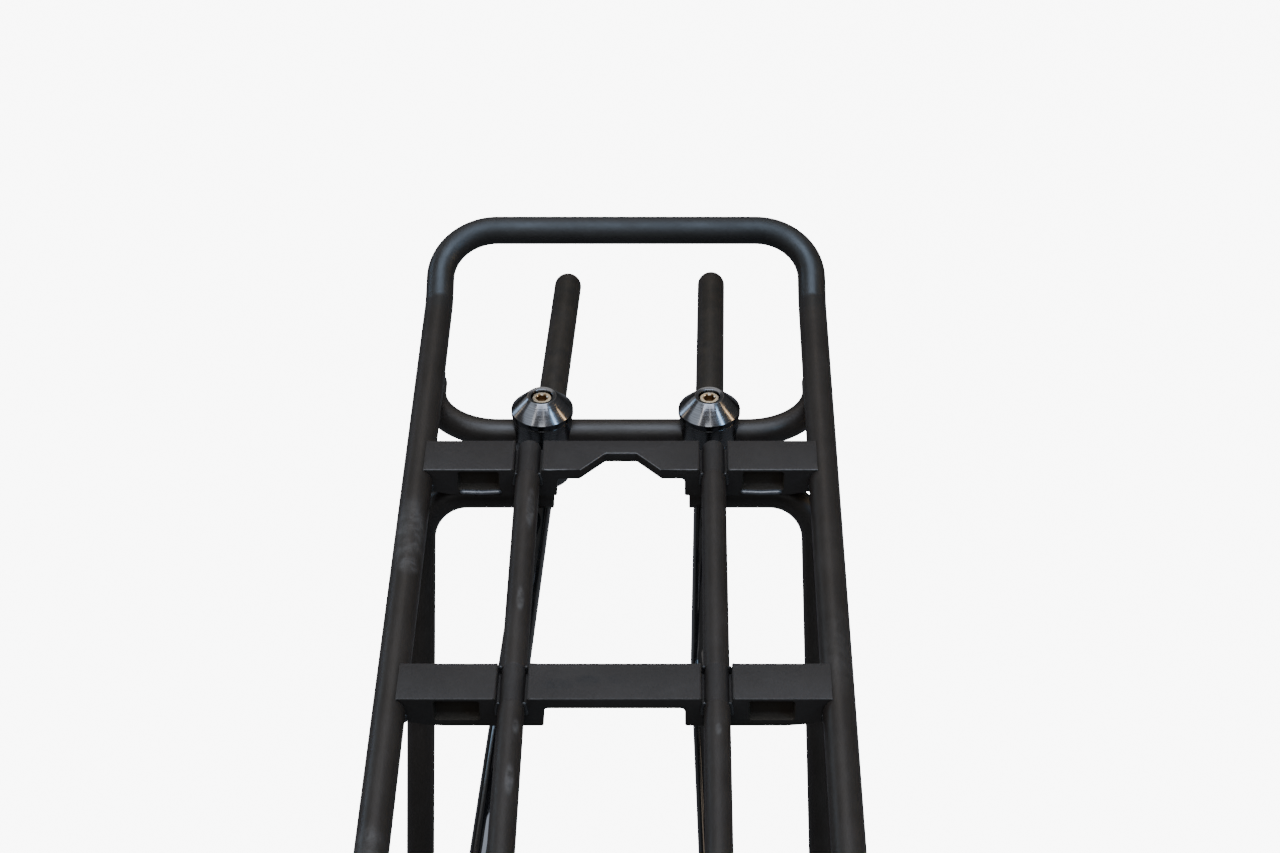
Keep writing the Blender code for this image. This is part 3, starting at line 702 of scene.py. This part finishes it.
PLATE_SPOTS = (
    ((-0.0215, -0.002, 0.0), (0.0075, 0.0038, 0.003), 0.75, SHADE),
    ((-0.0100, 0.000, 0.0), (0.0060, 0.0042, 0.003), 0.65, SHADE),
    ((0.0010, 0.001, 0.0), (0.0052, 0.0034, 0.003), 0.55, SHADE),
)

# tail also paints a blue sheen on the deck's raised rear end.
FRAME = powder("frame_satin", PAINT, rough=0.40, spots=FRAME_SPOTS, tail=0.13)
RAILS = powder("rail_satin", PAINT, rough=0.46, spots=RAIL_SPOTS)
# edge paints a highlight along the plates' front top edges.
PLATE = powder("plate_matte", (0.0172, 0.0145, 0.0125), rough=0.60, grain=(2300, 0.00005),
               peel=(800, 0.00005), spots=PLATE_SPOTS, wear=0.8, edge=0.9)
POCKET = powder("pocket_dull", (0.031, 0.025, 0.018), rough=0.80, grain=(2300, 0.00005),
                peel=(600, 0.00008), wear=1.0, spec=0.3)
GLOSS = gloss("stay_gloss_black")
WELD = weld_paint("weld_paint", (0.018, 0.018, 0.0185))
STEEL = stainless("stainless_bolt", (0.86, 0.78, 0.64), rough=0.20)
# Glossy weld beads in a lighter, bluish colour: a painted blue-white highlight on the pocket
# lips.
WELD_LIP_SHEEN = powder("weld_lip_painted_sheen", (0.055, 0.060, 0.068), rough=0.26, spec=1.0)
STEEL_DULL = stainless("stainless_washer", (0.55, 0.53, 0.50), rough=0.34)
# A darker brown copy of the bolt steel: painted shade inside the hex sockets.
SOCKET_SHADE = stainless("stainless_socket_shaded", (0.22, 0.135, 0.065), rough=0.46)


# ------------------------------------------------------- deck, plates, rails

def deck():
    """The closed loop round the deck, its rear end raised."""
    corners = [(HALF_W, RISE_Y, DECK_Z), (HALF_W, TAIL_Y, TAIL_Z), (-HALF_W, TAIL_Y, TAIL_Z),
               (-HALF_W, RISE_Y, DECK_Z), (-HALF_W, DECK_FRONT_Y, DECK_Z),
               (HALF_W, DECK_FRONT_Y, DECK_Z)]
    path = rounded(corners, [12, 25.5, 25.5, 12, 30, 30], closed=True)
    tube("deck_loop", path, TUBE_R, FRAME, closed=True, sides=56,
         body="rack", node="deck_tube", slot="frame_paint")


def plate_profile():
    """A crossplate seen along Y, with a round rib in a groove on each side."""
    rib = [(RAIL_X - RIB_R, GROOVE_Z, 0.0)]
    for k in range(25):
        angle = math.radians(180 - 180 * k / 24)
        rib.append((RAIL_X + RIB_R * math.cos(angle), -RIB_R + RIB_R * math.sin(angle), 0.0))
    rib.append((RAIL_X + RIB_R, GROOVE_Z, 0.0))
    # x, z, corner radius
    top = [(GROOVE_IN_X, 0, 0.9), (GROOVE_IN_X, GROOVE_Z, 0.35), *rib,
           (GROOVE_OUT_X, GROOVE_Z, 0.35), (GROOVE_OUT_X, 0, 0.9)]
    under = [(82.2, 0, 0.0), (82.2, -6.4, 0.5), (78.9, -11.6, 1.6), (72.0, -13.1, 4.0),
             (65.0, BLOCK_Z, 10.0), (26.7, BLOCK_Z, 1.0), (26.7, CENTRE_Z, 1.8)]
    right = top + under
    left = [(-x, z, radius) for x, z, radius in reversed(right)]
    return outline_2d(left + right, 10)


def pocket_tool(out, face_y, face):
    """A rounded, slightly tapered block that sinks a pocket into a plate's face."""
    # depth below the face, how far the outline grows
    stations = ((-2.0, 0.55), (-0.02, 0.35), (0.30, 0.05), (3.0, -0.25), (3.4, -0.55),
                (3.5, -0.95))
    rings = []
    for depth, grow in stations:
        inner, outer = out * POCKET_IN_X - out * grow, out * POCKET_OUT_X + out * grow
        low, top = POCKET_LOW_Z - grow, POCKET_TOP_Z + min(grow, 0.1)
        radius = 1.1 + grow
        outline = outline_2d([(inner, low, radius), (outer, low, radius),
                              (outer, top, radius), (inner, top, radius)], 15)
        rings.append([Vector((x, face_y - face * depth, z)) for x, z in outline])
    shape = loft(rings)
    for polygon in shape.faces:
        polygon.material_index = 1
    return mesh_object("tool", shape)


def middle_of(edge):
    return (edge.verts[0].co + edge.verts[1].co) / 2 / MM


def cut_notch(obj, y):
    """Cuts a tapering notch into the plate's front face and bevels its edges."""
    front = y - PLATE_HALF_Y
    back = front + NOTCH_DEPTH
    ahead = 6.0
    mouth = NOTCH_MOUTH_HALF + (NOTCH_MOUTH_HALF - NOTCH_FLOOR_HALF) / NOTCH_DEPTH * ahead
    outline = outline_2d([(-mouth, front - ahead, 0), (mouth, front - ahead, 0),
                          (NOTCH_FLOOR_HALF, back, 1.2), (-NOTCH_FLOOR_HALF, back, 1.2)], 10)
    cut(obj, mesh_object("tool", slab([outline], lambda u, v, w: (u, v, -20 + w), 40)))

    def on_notch(edge):
        middle = middle_of(edge)
        return (len(edge.link_faces) == 2
                and edge.calc_face_angle(0) >= math.radians(40)
                and abs(middle.x) < NOTCH_MOUTH_HALF + 0.7
                and front + 0.7 < middle.y < back + 0.3
                and abs(edge.verts[0].co.z - edge.verts[1].co.z) < 1e-5)

    bevel_where(obj, on_notch, 0.55, clamp=True)


def plate(label, y):
    shape = slab([plate_profile()], lambda u, v, w: (u, y - PLATE_HALF_Y + w, v),
                 2 * PLATE_HALF_Y)
    obj = mesh_object(f"plate_{label}", shape, PLATE, sharp=28)
    obj.data.materials.append(POCKET)
    for out in (-1, 1):
        for face in (-1, 1):
            cut(obj, pocket_tool(out, y + face * PLATE_HALF_Y, face))
    for out in (-1, 1):
        cut(obj, rod_tool((out * HALF_W, y - 30, DECK_Z), (out * HALF_W, y + 30, DECK_Z),
                          TUBE_R - 0.02, 96))
    if label == "rear":
        cut_notch(obj, y)
    else:
        smooth(obj)

    def on_long_top_edge(edge):
        return (all(abs(vert.co.z) < 0.00002 for vert in edge.verts)
                and abs(abs(middle_of(edge).y - y) - PLATE_HALF_Y) < 0.02
                and edge.calc_length() > 0.003)

    bevel_where(obj, on_long_top_edge, 0.5, clamp=False)
    register(obj, "rack", f"crossplate_{label}", "plate_paint")


def rails():
    """Four bars between the crossplates."""
    near, far = PLATE_HALF_Y - 0.1, PITCH - PLATE_HALF_Y + 0.1
    half = (far - near) / 2
    profile = [(3.9, -half), (RAIL_R, -half)]
    profile += [(RAIL_R, -half + 0.6 + (2 * half - 1.2) * k / 8) for k in range(9)]
    profile += [(RAIL_R, half), (3.9, half)]
    for side, out in SIDES:
        for end, way in ENDS:
            turned(f"rail_bar_{end}_{side}", profile,
                   (out * RAIL_X, way * (near + far) / 2, -RAIL_R), (0, 1, 0), RAILS,
                   bored=True, steps=48, round_by=0.3,
                   body="rack", node=f"rail_{end}_{side}", slot="frame_paint")


def cross_bar():
    """The U-shaped tube that carries the clamps, its ends turned to the rear."""
    path = rounded([(-HALF_W, BAR_END_Y, BAR_Z), (-HALF_W, BAR_Y, BAR_Z),
                    (HALF_W, BAR_Y, BAR_Z), (HALF_W, BAR_END_Y, BAR_Z)], [0, 31, 31, 0])
    tube("cross_tube", path, BAR_R, FRAME, eases=(2.2, 2.2),
         body="rack", node="clamp_bar", slot="frame_paint")


# ------------------------------------------------------------ clamps, stays

def socket_bolt(name, node, body, origin, direction, length):
    """A socket head bolt; origin is under the head and direction points out of it."""
    obj = turned(name,
                 [(0, -length), (BOLT_R - 0.5, -length), (BOLT_R, -length + 0.6),
                  (BOLT_R, -0.01), (HEAD_R, 0), (HEAD_R, HEAD_H), (0, HEAD_H)],
                 origin, direction, STEEL, round_by=0.45, steps=72)
    hexagon = turned("tool", [(0, 2.3), (2.55, 2.3), (2.55, 4.6), (2.95, 5.02), (2.95, 7),
                              (0, 7)], origin, direction, steps=6, round_by=0)
    # The socket's faces take the darker steel: painted shade in the recess.
    for polygon in hexagon.data.polygons:
        polygon.material_index = 1
    obj.data.materials.append(SOCKET_SHADE)
    cut(obj, hexagon)
    flare = [(0, 4.55), (2.2, 4.55), (2.75, 5.1), (2.75, 7), (0, 7)]
    cut(obj, turned("tool", flare, origin, direction, steps=48, round_by=0))
    finish_cut(obj, body, node, "stainless")


def washer(name, node, body, origin, direction):
    turned(name, [(HOLE_R, 0), (WASHER_R, 0), (WASHER_R, WASHER_T), (HOLE_R, WASHER_T)],
           origin, direction, STEEL_DULL, bored=True, steps=64, round_by=0.2,
           body=body, node=node, slot="stainless")


def stay_line(side):
    """Where a stay passes under its clamp, and its direction to the rear."""
    yaw = math.radians(STAY_YAW[side])
    at_clamp = Vector((CLAMP_X[side] + STAY_OFF_X[side], BAR_Y, STAY_Z))
    return at_clamp, Vector((math.sin(yaw), math.cos(yaw), 0))


def saddle(level, side, low, high, material):
    """Half of the drum that grips the cross tube."""
    x = CLAMP_X[side]
    obj = turned(f"saddle_{level}_{side}",
                 [(HOLE_R, low), (CLAMP_R, low), (CLAMP_R, high), (HOLE_R, high)],
                 (x, BAR_Y, 0), (0, 0, 1), material, bored=True, round_by=0.35)
    cut(obj, rod_tool((x - 30, BAR_Y, BAR_Z), (x + 30, BAR_Y, BAR_Z), BAR_R + 0.04, 72))
    finish_cut(obj, "rack", f"clamp_saddle_{level}_{side}", "clamp_black")


def eye(side, material):
    """The drum under the saddles that the stay runs through."""
    obj = turned(f"eye_{side}",
                 [(0, -43.5), (9.2, -43.5), (11.2, -41.5), (11.2, -26.32), (0, -26.32)],
                 (CLAMP_X[side], BAR_Y, 0), (0, 0, 1), material, round_by=0.4)
    centre, along = stay_line(side)
    cut(obj, rod_tool(centre - along * 25, centre + along * 25, STAY_R + 0.12, 96))
    finish_cut(obj, f"swivel_{side}", f"clamp_eye_{side}", "clamp_black")


def clamp(side):
    x = CLAMP_X[side]
    axis = (x * MM, BAR_Y * MM, 0)
    # rim paints shade on the cone's faces that don't look up.
    shiny = lathe(f"cone_turned_{side}", axis, base=(0.19, 0.195, 0.21), rough=0.14,
                  rim=(0.06, 0.062, 0.068))
    anodised = lathe(f"clamp_anodised_{side}", axis, base=(0.115, 0.117, 0.122), rough=0.24)
    cone = [(HOLE_R, -8.7), (CLAMP_R, -8.7), (13.4, -8.0), (13.4, -5.7), (6.3, 1.3),
            (4.62, 0.9), (4.62, -5.0), (HOLE_R, -5.0)]
    turned(f"cone_cap_{side}", cone, (x, BAR_Y, 0), (0, 0, 1), shiny, bored=True, steps=128,
           round_by=0.28, body="rack", node=f"clamp_cap_{side}", slot="clamp_black")
    saddle("upper", side, BAR_Z + SADDLE_GAP, -8.8, anodised)
    saddle("lower", side, -26.2, BAR_Z - SADDLE_GAP, anodised)
    eye(side, anodised)
    socket_bolt(f"cap_screw_{side}", f"clamp_bolt_{side}", "rack", (x, BAR_Y, -4.9),
                (0, 0, 1), length=22.4)


def stay_stations(rear, bend, front, ahead):
    """(point, half width, half height, corner) along a stay from rear to front."""
    back = (rear - bend).normalized()
    stations = []
    for degrees in (86, 78, 69, 60, 51, 42, 33, 24, 16, 8, 0):
        angle = math.radians(degrees)
        radius = STAY_R * math.cos(angle)
        stations.append((rear - back * STAY_R * (1 - math.sin(angle)), radius, radius, radius))
    rod = denser(rounded([rear - back * STAY_R, bend, front - ahead * TAPER_BACK],
                         [0, 40, 0], 1.5))
    for point in rod[1:]:
        stations.append((point, STAY_R, STAY_R, STAY_R))
    for k in range(1, 13):
        share = k / 12
        ease = share * share * (3 - 2 * share)
        distance = STAY_FRONT_LENGTH - TAPER_BACK + TAPER_LENGTH * share
        stations.append((bend + ahead * distance,
                         STAY_R + (TAB_HALF_T - STAY_R) * ease,
                         STAY_R + (TAB_R - STAY_R) * ease,
                         STAY_R + (TAB_CORNER - STAY_R) * ease))
    stations.append((front - ahead * 2 * TAB_R, TAB_HALF_T, TAB_R, TAB_CORNER))
    for degrees in (0, 10, 20, 30, 40, 50, 60, 70, 78, 84):
        angle = math.radians(degrees)
        stations.append((front - ahead * (TAB_R * (1 - math.sin(angle))), TAB_HALF_T,
                         max(TAB_R * math.cos(angle), 0.95), TAB_CORNER))
    return stations


def stay(side):
    """A round rod, bent downward, whose front end flattens to a drilled tab."""
    at_clamp, along = stay_line(side)
    rear = at_clamp + along * ((STAY_REAR_Y[side] - BAR_Y) / along.y)
    bend = at_clamp + along * ((STAY_BEND_Y - BAR_Y) / along.y)
    drop, splay = math.radians(STAY_DROP), math.radians(STAY_SPLAY[side])
    ahead = Vector((-math.sin(splay) * math.cos(drop), -math.cos(splay) * math.cos(drop),
                    -math.sin(drop)))
    front = bend + ahead * STAY_FRONT_LENGTH
    stations = stay_stations(rear, bend, front, ahead)
    frames = frames_along([station[0] for station in stations], (0, 0, 1))
    rings = [ring(point, axes, section(width, height, corner, 48))
             for (point, width, height, corner), axes in zip(stations, frames)]
    obj = mesh_object(f"stay_{side}_rod", loft(rings), GLOSS)
    hole = front - ahead * TAB_R
    outward = ahead.cross(Vector((0, 0, 1))).normalized()
    if outward.x * CLAMP_X[side] < 0:
        outward = -outward
    cut(obj, rod_tool(hole - outward * 10, hole + outward * 10, HOLE_R, 48))
    body = f"stay_{side}"
    finish_cut(obj, body, f"stay_rod_{side}", "stay_gloss")
    washer(f"tab_washer_{side}", f"stay_washer_{side}", body,
           hole + outward * (TAB_HALF_T + 0.05), outward)
    socket_bolt(f"tab_screw_{side}", f"stay_bolt_{side}", body,
                hole + outward * (TAB_HALF_T + WASHER_T + 0.15), outward, length=16.0)


# --------------------------------------------------------------- legs, feet

def leg(end, way, side, out):
    """A tube from an open stub under the crossplate, out, down and in to the foot."""
    # x, y, z on the right rear, mirrored by out and way; bend radius
    stations = (((28.6, LEG_Y, STUB_Z), 0),
                ((LEG_OUT_X[side], LEG_Y, STUB_Z), 20),
                ((KNEE_X[side], 47, -236), 45),
                ((FOOT_X, 29.5, -279), 45),
                ((FOOT_X, 9.5, -327), 0))
    path = rounded([(out * x, way * y, z) for (x, y, z), _ in stations],
                   [radius for _, radius in stations], 3)
    obj = tube(f"leg_{end}_{side}_tube", path, LEG_R, FRAME, normal=(0, 1, 0),
               eases=(0.5, 1.6), bore=LEG_R - 1.4)
    # a slot for the foot plate
    half = FOOT_HALF_T + 0.05
    cut(obj, box_tool(Vector((out * FOOT_X - half, min(way * -5, way * 60), -360)),
                      Vector((out * FOOT_X + half, max(way * -5, way * 60), -303.5))))
    finish_cut(obj, "rack", f"leg_{end}_{side}", "frame_paint")


def foot_outline():
    # y, z, corner radius
    top = [(-21.5, FOOT_TOP_Z, 1.5), (-12, FOOT_TOP_Z, 2), (-5, -316, 4), (5, -316, 4),
           (12, FOOT_TOP_Z, 2), (21.5, FOOT_TOP_Z, 1.5), (13, -330, 6)]
    lobe = []
    for k in range(25):
        angle = math.radians(10 - 200 * k / 24)
        lobe.append((FOOT_LOBE_R * math.cos(angle),
                     FOOT_BOLT_Z + FOOT_LOBE_R * math.sin(angle), 0))
    return outline_2d(top + lobe + [(-13, -330, 6)], 10)


def foot(side, out):
    """A drilled plate joining two legs, with a seat inside and a bolt outside."""
    hole = [(HOLE_R * math.cos(math.tau * k / 48),
             FOOT_BOLT_Z + HOLE_R * math.sin(math.tau * k / 48)) for k in range(48)]
    shape = slab([foot_outline(), hole],
                 lambda u, v, w: (out * FOOT_X - FOOT_HALF_T + w, u, v),
                 2 * FOOT_HALF_T, rim_bevel=0.45)
    mesh_object(f"foot_{side}", shape, FRAME, body="rack", node=f"foot_plate_{side}",
                slot="frame_paint")
    turned(f"foot_seat_{side}", [(2.8, -0.2), (8.5, -0.2), (8.5, 1.5), (2.8, 1.5)],
           (out * (FOOT_X - FOOT_HALF_T), 0, FOOT_BOLT_Z), (-out, 0, 0), STEEL_DULL,
           bored=True, steps=72, body="rack", slot="stainless")
    face = out * (FOOT_X + FOOT_HALF_T)
    washer(f"axle_washer_{side}", f"foot_washer_{side}", "rack",
           (face + out * 0.05, 0, FOOT_BOLT_Z), (out, 0, 0))
    socket_bolt(f"axle_screw_{side}", f"foot_bolt_{side}", "rack",
                (face + out * (WASHER_T + 0.1), 0, FOOT_BOLT_Z), (out, 0, 0), length=18.0)


# --------------------------------------------------------------------- welds

SCALE_PITCH, SCALE_DEPTH, BEAD_FLAT = 1.7, 0.16, 0.75
EDGES = (("near", -1), ("far", 1))


def bead(name, points, radius, seed, material=WELD, normal=(0, 0, 1)):
    """A weld bead: a low ridge with the overlapping scale of a hand-laid weld."""
    points = denser([Vector(point) for point in points], longest=0.34)
    travelled = [0.0]
    for start, end in zip(points, points[1:]):
        travelled.append(travelled[-1] + (end - start).length)
    length = travelled[-1]
    circle = section(1, 1, 1, 16)
    rings = []
    for point, axes, along in zip(points, frames_along(points, normal), travelled):
        wobble = 1 + 0.10 * noise.noise(Vector((along * 0.35, seed * 3.1, 0)))
        drift = 0.25 * noise.noise(Vector((along * 0.21, seed, 5)))
        phase = (along / SCALE_PITCH + drift) % 1.0
        scale = 1 - SCALE_DEPTH * (1 - math.sqrt(max(0.0, 1 - (phase - 0.25) ** 2)))
        ends = min(1.0, max(0.0, along / (radius * 1.2)),
                   max(0.0, (length - along) / (radius * 1.2)))
        size = radius * wobble * scale * math.sqrt(max(0.02, ends * (2 - ends)))
        rings.append(ring(point, axes, circle, size, BEAD_FLAT))
    mesh_object(name, loft(rings), material, sharp=60, body="rack", slot="frame_paint")


def in_or_out(edge, out):
    return "out" if edge * out > 0 else "in"


def stub_welds(seeds):
    """Along and across each leg's stub, and along its plate pocket's lower lip."""
    for end, way in ENDS:
        leg_y = way * LEG_Y
        for side, out in SIDES:
            for label, edge in EDGES:
                y, z = leg_y + edge * 3.9, -14.55
                bead(f"weld_stub_{end}_{side}_{label}", [(out * 30.5, y, z), (out * 64, y, z)],
                     1.55, next(seeds))
            seed = next(seeds)
            start_y = leg_y - 9.0 + 0.2 * (way < 0)
            # The lip bead takes the lighter bluish colour: a painted highlight.
            bead(f"weld_lip_{end}_{side}",
                 [(out * 50.0, start_y, -11.6), (out * 58.0, leg_y - 9.2, -11.9),
                  (out * 67.5, leg_y - 9.1, -11.6)], 1.35, seed + 50, WELD_LIP_SHEEN)
            bead(f"weld_stub_end_{end}_{side}",
                 [(out * 29.6, leg_y + 4.0 * step, -14.5 + 0.15 * abs(step))
                  for step in (-1, -0.5, 0, 0.5, 1)], 1.2, seed)


def plate_edges():
    """Each crossplate's side edges: plate, y, side, its sign, edge and its sign."""
    for plate_label, y in PLATES:
        for side, out in SIDES:
            for label, edge in EDGES:
                yield f"{plate_label}_{side}_{label}", y, out, edge


def plate_welds(seeds):
    """Under the deck tube, where it meets each crossplate."""
    reach = TUBE_R + 0.35
    for name, y, out, edge in plate_edges():
        points = []
        for k in range(9):
            angle = math.radians(196 + 58 * k / 8)
            points.append((out * (HALF_W + reach * math.cos(angle)),
                           y + edge * (PLATE_HALF_Y + 0.1),
                           DECK_Z + reach * math.sin(angle) * 0.6 - 0.6))
        bead(f"weld_plate_{name}", points, 1.0, next(seeds), normal=(0, 1, 0))


def corner_welds(seeds):
    """Down the outer corners of each crossplate."""
    for name, y, out, edge in plate_edges():
        edge_y = y + edge * (PLATE_HALF_Y - 0.4)
        bead(f"weld_corner_{name}",
             [(out * x, edge_y, z) for x, z in ((79.9, -7.6), (79.7, -10.2), (79.3, -12.4))],
             1.25, next(seeds), normal=(0, 1, 0))


def rail_welds(seeds):
    """Up both flanks of each rail end."""
    # label, y of the plate face, way along Y to the rail
    faces = (("a", PITCH - PLATE_HALF_Y, -1), ("b", PLATE_HALF_Y, 1),
             ("c", -PLATE_HALF_Y, -1), ("d", PLATE_HALF_Y - PITCH, 1))
    for label, y, way in faces:
        for side, out in SIDES:
            for edge in (-1, 1):
                x = out * RAIL_X + edge * (RAIL_R + 0.35)
                bead(f"weld_rail_{label}_{side}_{in_or_out(edge, out)}",
                     [(x + edge * 0.2, y + way * 0.1, -8.2), (x, y + way * 0.15, -5.0),
                      (x - edge * 0.7, y + way * 0.1, -1.6)],
                     0.85, next(seeds), normal=(0, 1, 0))


def bar_and_foot_welds(seeds):
    """Along the cross tube's ends, and where the legs meet the foot plates."""
    for side, out in SIDES:
        for edge in (-1, 1):
            x = out * HALF_W + edge * 4.1
            bead(f"weld_bar_{side}_{in_or_out(edge, out)}",
                 [(x, 200, -12.9), (x, 216.0, -12.9)], 1.7, next(seeds))
        for end, way in ENDS:
            for face in (-1, 1):
                middle = Vector((out * FOOT_X + face * (FOOT_HALF_T + 0.2), way * 9.2, -327.6))
                bead(f"weld_foot_{end}_{side}_{in_or_out(face, out)}",
                     [middle + Vector((0, way * -4.2, 0.4)), middle,
                      middle + Vector((0, way * 4.8, 0.9))],
                     1.2, next(seeds), normal=(1, 0, 0))


def welds():
    seeds = itertools.count()
    stub_welds(seeds)
    plate_welds(seeds)
    corner_welds(seeds)
    rail_welds(seeds)
    bar_and_foot_welds(seeds)


# --------------------------------------------------------------------- stage

FLOOR_HALF, FLOOR_GAP = 9.0, 0.0005
FLOOR_GLOW, FLOOR_BOUNCE = 9.0, 0.18
WORLD_LOW, WORLD_HIGH = 0.09, 0.24  # sky strength near the horizon and overhead
AIM = (0.0, BAR_Y * MM, 0.0)
COOL, NEUTRAL = (0.76, 0.84, 1.0), (1.0, 0.965, 0.93)
BLUE, WARM = (0.45, 0.70, 1.0), (1.0, 0.66, 0.34)
# name, place, size, radiance, colour: a cool panel overhead lights the hoop and the cross
# tube, narrow strips draw the fan of streaks on the cones
LIGHTS = (
    ("back_softbox", (-0.20, 1.05, 1.35), (1.1, 0.6), 0.85, NEUTRAL),
    ("zenith_panel", (0.0, -0.01, 1.55), (1.3, 1.22), 5.0, COOL),
    ("front_fill", (-0.05, -1.08, 1.05), (0.5, 0.42), 2.6, (0.94, 0.96, 1.0)),
    ("lamp_behind", (0.03, 1.60, 1.04), (0.40, 0.32), 0.7, (1.0, 0.82, 0.60)),
    ("side_back_left", (-1.25, 1.15, 0.42), (0.8, 0.5), 0.45, (0.96, 0.97, 1.0)),
    ("strip_stay_cool", (-1.26, 0.92, 0.42), (0.18, 0.55), 3.6, BLUE),
    ("strip_stay_warm", (-1.44, 0.66, 0.42), (0.12, 0.55), 1.7, (1.0, 0.80, 0.60)),
    ("streak_fill", (-1.15, -0.30, 1.14), (1.25, 0.60), 0.95, (0.80, 0.89, 1.0)),
    ("streak_a", (-0.72, -0.66, 1.27), (0.11, 0.60), 3.0, (1.0, 0.94, 0.88)),
    ("streak_b", (0.14, -0.85, 1.33), (0.08, 0.50), 2.2, (1.0, 0.97, 0.93)),
    ("streak_cool", (1.080, -0.589, 1.057), (0.20, 0.80), 10.0, BLUE),
    ("streak_warm", (1.532, 0.242, 0.726), (0.12, 0.70), 10.0, WARM),
)
CAMERA_PLACE, CAMERA_PITCH = (0.0252, -0.757, 0.700), 37.4  # degrees below level
SENSOR_WIDTH, LENS, SHIFT_X = 36.0, 76.246875, -0.03203125


def floor_material():
    """Glows near white to the camera and stays soft in reflections."""
    nodes = Nodes("floor_pale")
    colour = nodes.mix(nodes.remap(nodes.noise(scale=3, detail=2), span=(0.3, 0.7)),
                       (0.955, 0.955, 0.955), over=(0.965, 0.965, 0.965))
    glow = nodes.add("ShaderNodeEmission")
    nodes.link(colour, glow.inputs["Color"])
    glow.inputs["Strength"].default_value = FLOOR_GLOW
    nodes.set(base=(FLOOR_BOUNCE,) * 3, rough=0.9, spec=0.1)
    path = nodes.add("ShaderNodeLightPath")
    blend = nodes.add("ShaderNodeMixShader")
    both = nodes.add("ShaderNodeAddShader")
    nodes.link(nodes.bsdf.outputs[0], both.inputs[0])
    nodes.link(glow.outputs[0], both.inputs[1])
    nodes.link(path.outputs["Is Camera Ray"], blend.inputs[0])
    nodes.link(nodes.bsdf.outputs[0], blend.inputs[1])
    nodes.link(both.outputs[0], blend.inputs[2])
    output = next(node for node in nodes.tree.nodes if node.type == "OUTPUT_MATERIAL")
    nodes.link(blend.outputs[0], output.inputs["Surface"])
    return nodes.mat


def floor():
    material = floor_material()
    shape = bmesh.new()
    bmesh.ops.create_grid(shape, x_segments=2, y_segments=2, size=FLOOR_HALF)
    for vert in shape.verts:
        vert.co.z = CAD_LO.z - FLOOR_GAP
    mesh_object("floor", shape, material, scale=1.0)


def sky():
    """A white world that brightens upward."""
    world = bpy.context.scene.world or bpy.data.worlds.new("studio")
    bpy.context.scene.world = world
    world.use_nodes = True
    tree = world.node_tree
    background = tree.nodes["Background"]
    coordinates = tree.nodes.new("ShaderNodeTexCoord")
    split = tree.nodes.new("ShaderNodeSeparateXYZ")
    rise = tree.nodes.new("ShaderNodeMapRange")
    rise.interpolation_type = "SMOOTHSTEP"
    for key, value in (("From Min", 0.05), ("From Max", 1.0),
                       ("To Min", WORLD_LOW), ("To Max", WORLD_HIGH)):
        rise.inputs[key].default_value = value
    tree.links.new(coordinates.outputs["Generated"], split.inputs[0])
    tree.links.new(split.outputs["Z"], rise.inputs["Value"])
    tree.links.new(rise.outputs["Result"], background.inputs["Strength"])
    background.inputs["Color"].default_value = (1.0, 1.0, 1.0, 1.0)


def put(name, data, place, direction):
    """Adds a light or camera that looks along direction."""
    obj = bpy.data.objects.new(name, data)
    bpy.context.scene.collection.objects.link(obj)
    obj.location = place
    obj.rotation_mode = "QUATERNION"
    obj.rotation_quaternion = direction.to_track_quat("-Z", "Y")
    return obj


def area_light(name, place, size, radiance, colour):
    data = bpy.data.lights.new(name, "AREA")
    data.shape = "RECTANGLE"
    data.size, data.size_y = size
    data.energy = radiance * math.pi * size[0] * size[1]
    data.color = colour
    put(name, data, place, Vector(AIM) - Vector(place)).visible_camera = False


def camera():
    data = bpy.data.cameras.new("camera")
    data.sensor_width = SENSOR_WIDTH
    data.lens = LENS
    data.shift_x = SHIFT_X
    data.clip_start, data.clip_end = 0.01, 50
    pitch = math.radians(CAMERA_PITCH)
    bpy.context.scene.camera = put("camera", data, CAMERA_PLACE,
                                   Vector((0, math.cos(pitch), -math.sin(pitch))))


deck()
for label, y in PLATES:
    plate(label, y)
rails()
cross_bar()
for side in CLAMP_X:
    clamp(side)
for side in CLAMP_X:
    stay(side)
for end, way in ENDS:
    for side, out in SIDES:
        leg(end, way, side, out)
for side, out in SIDES:
    foot(side, out)
welds()

floor()
sky()
for light in LIGHTS:
    area_light(*light)
camera()
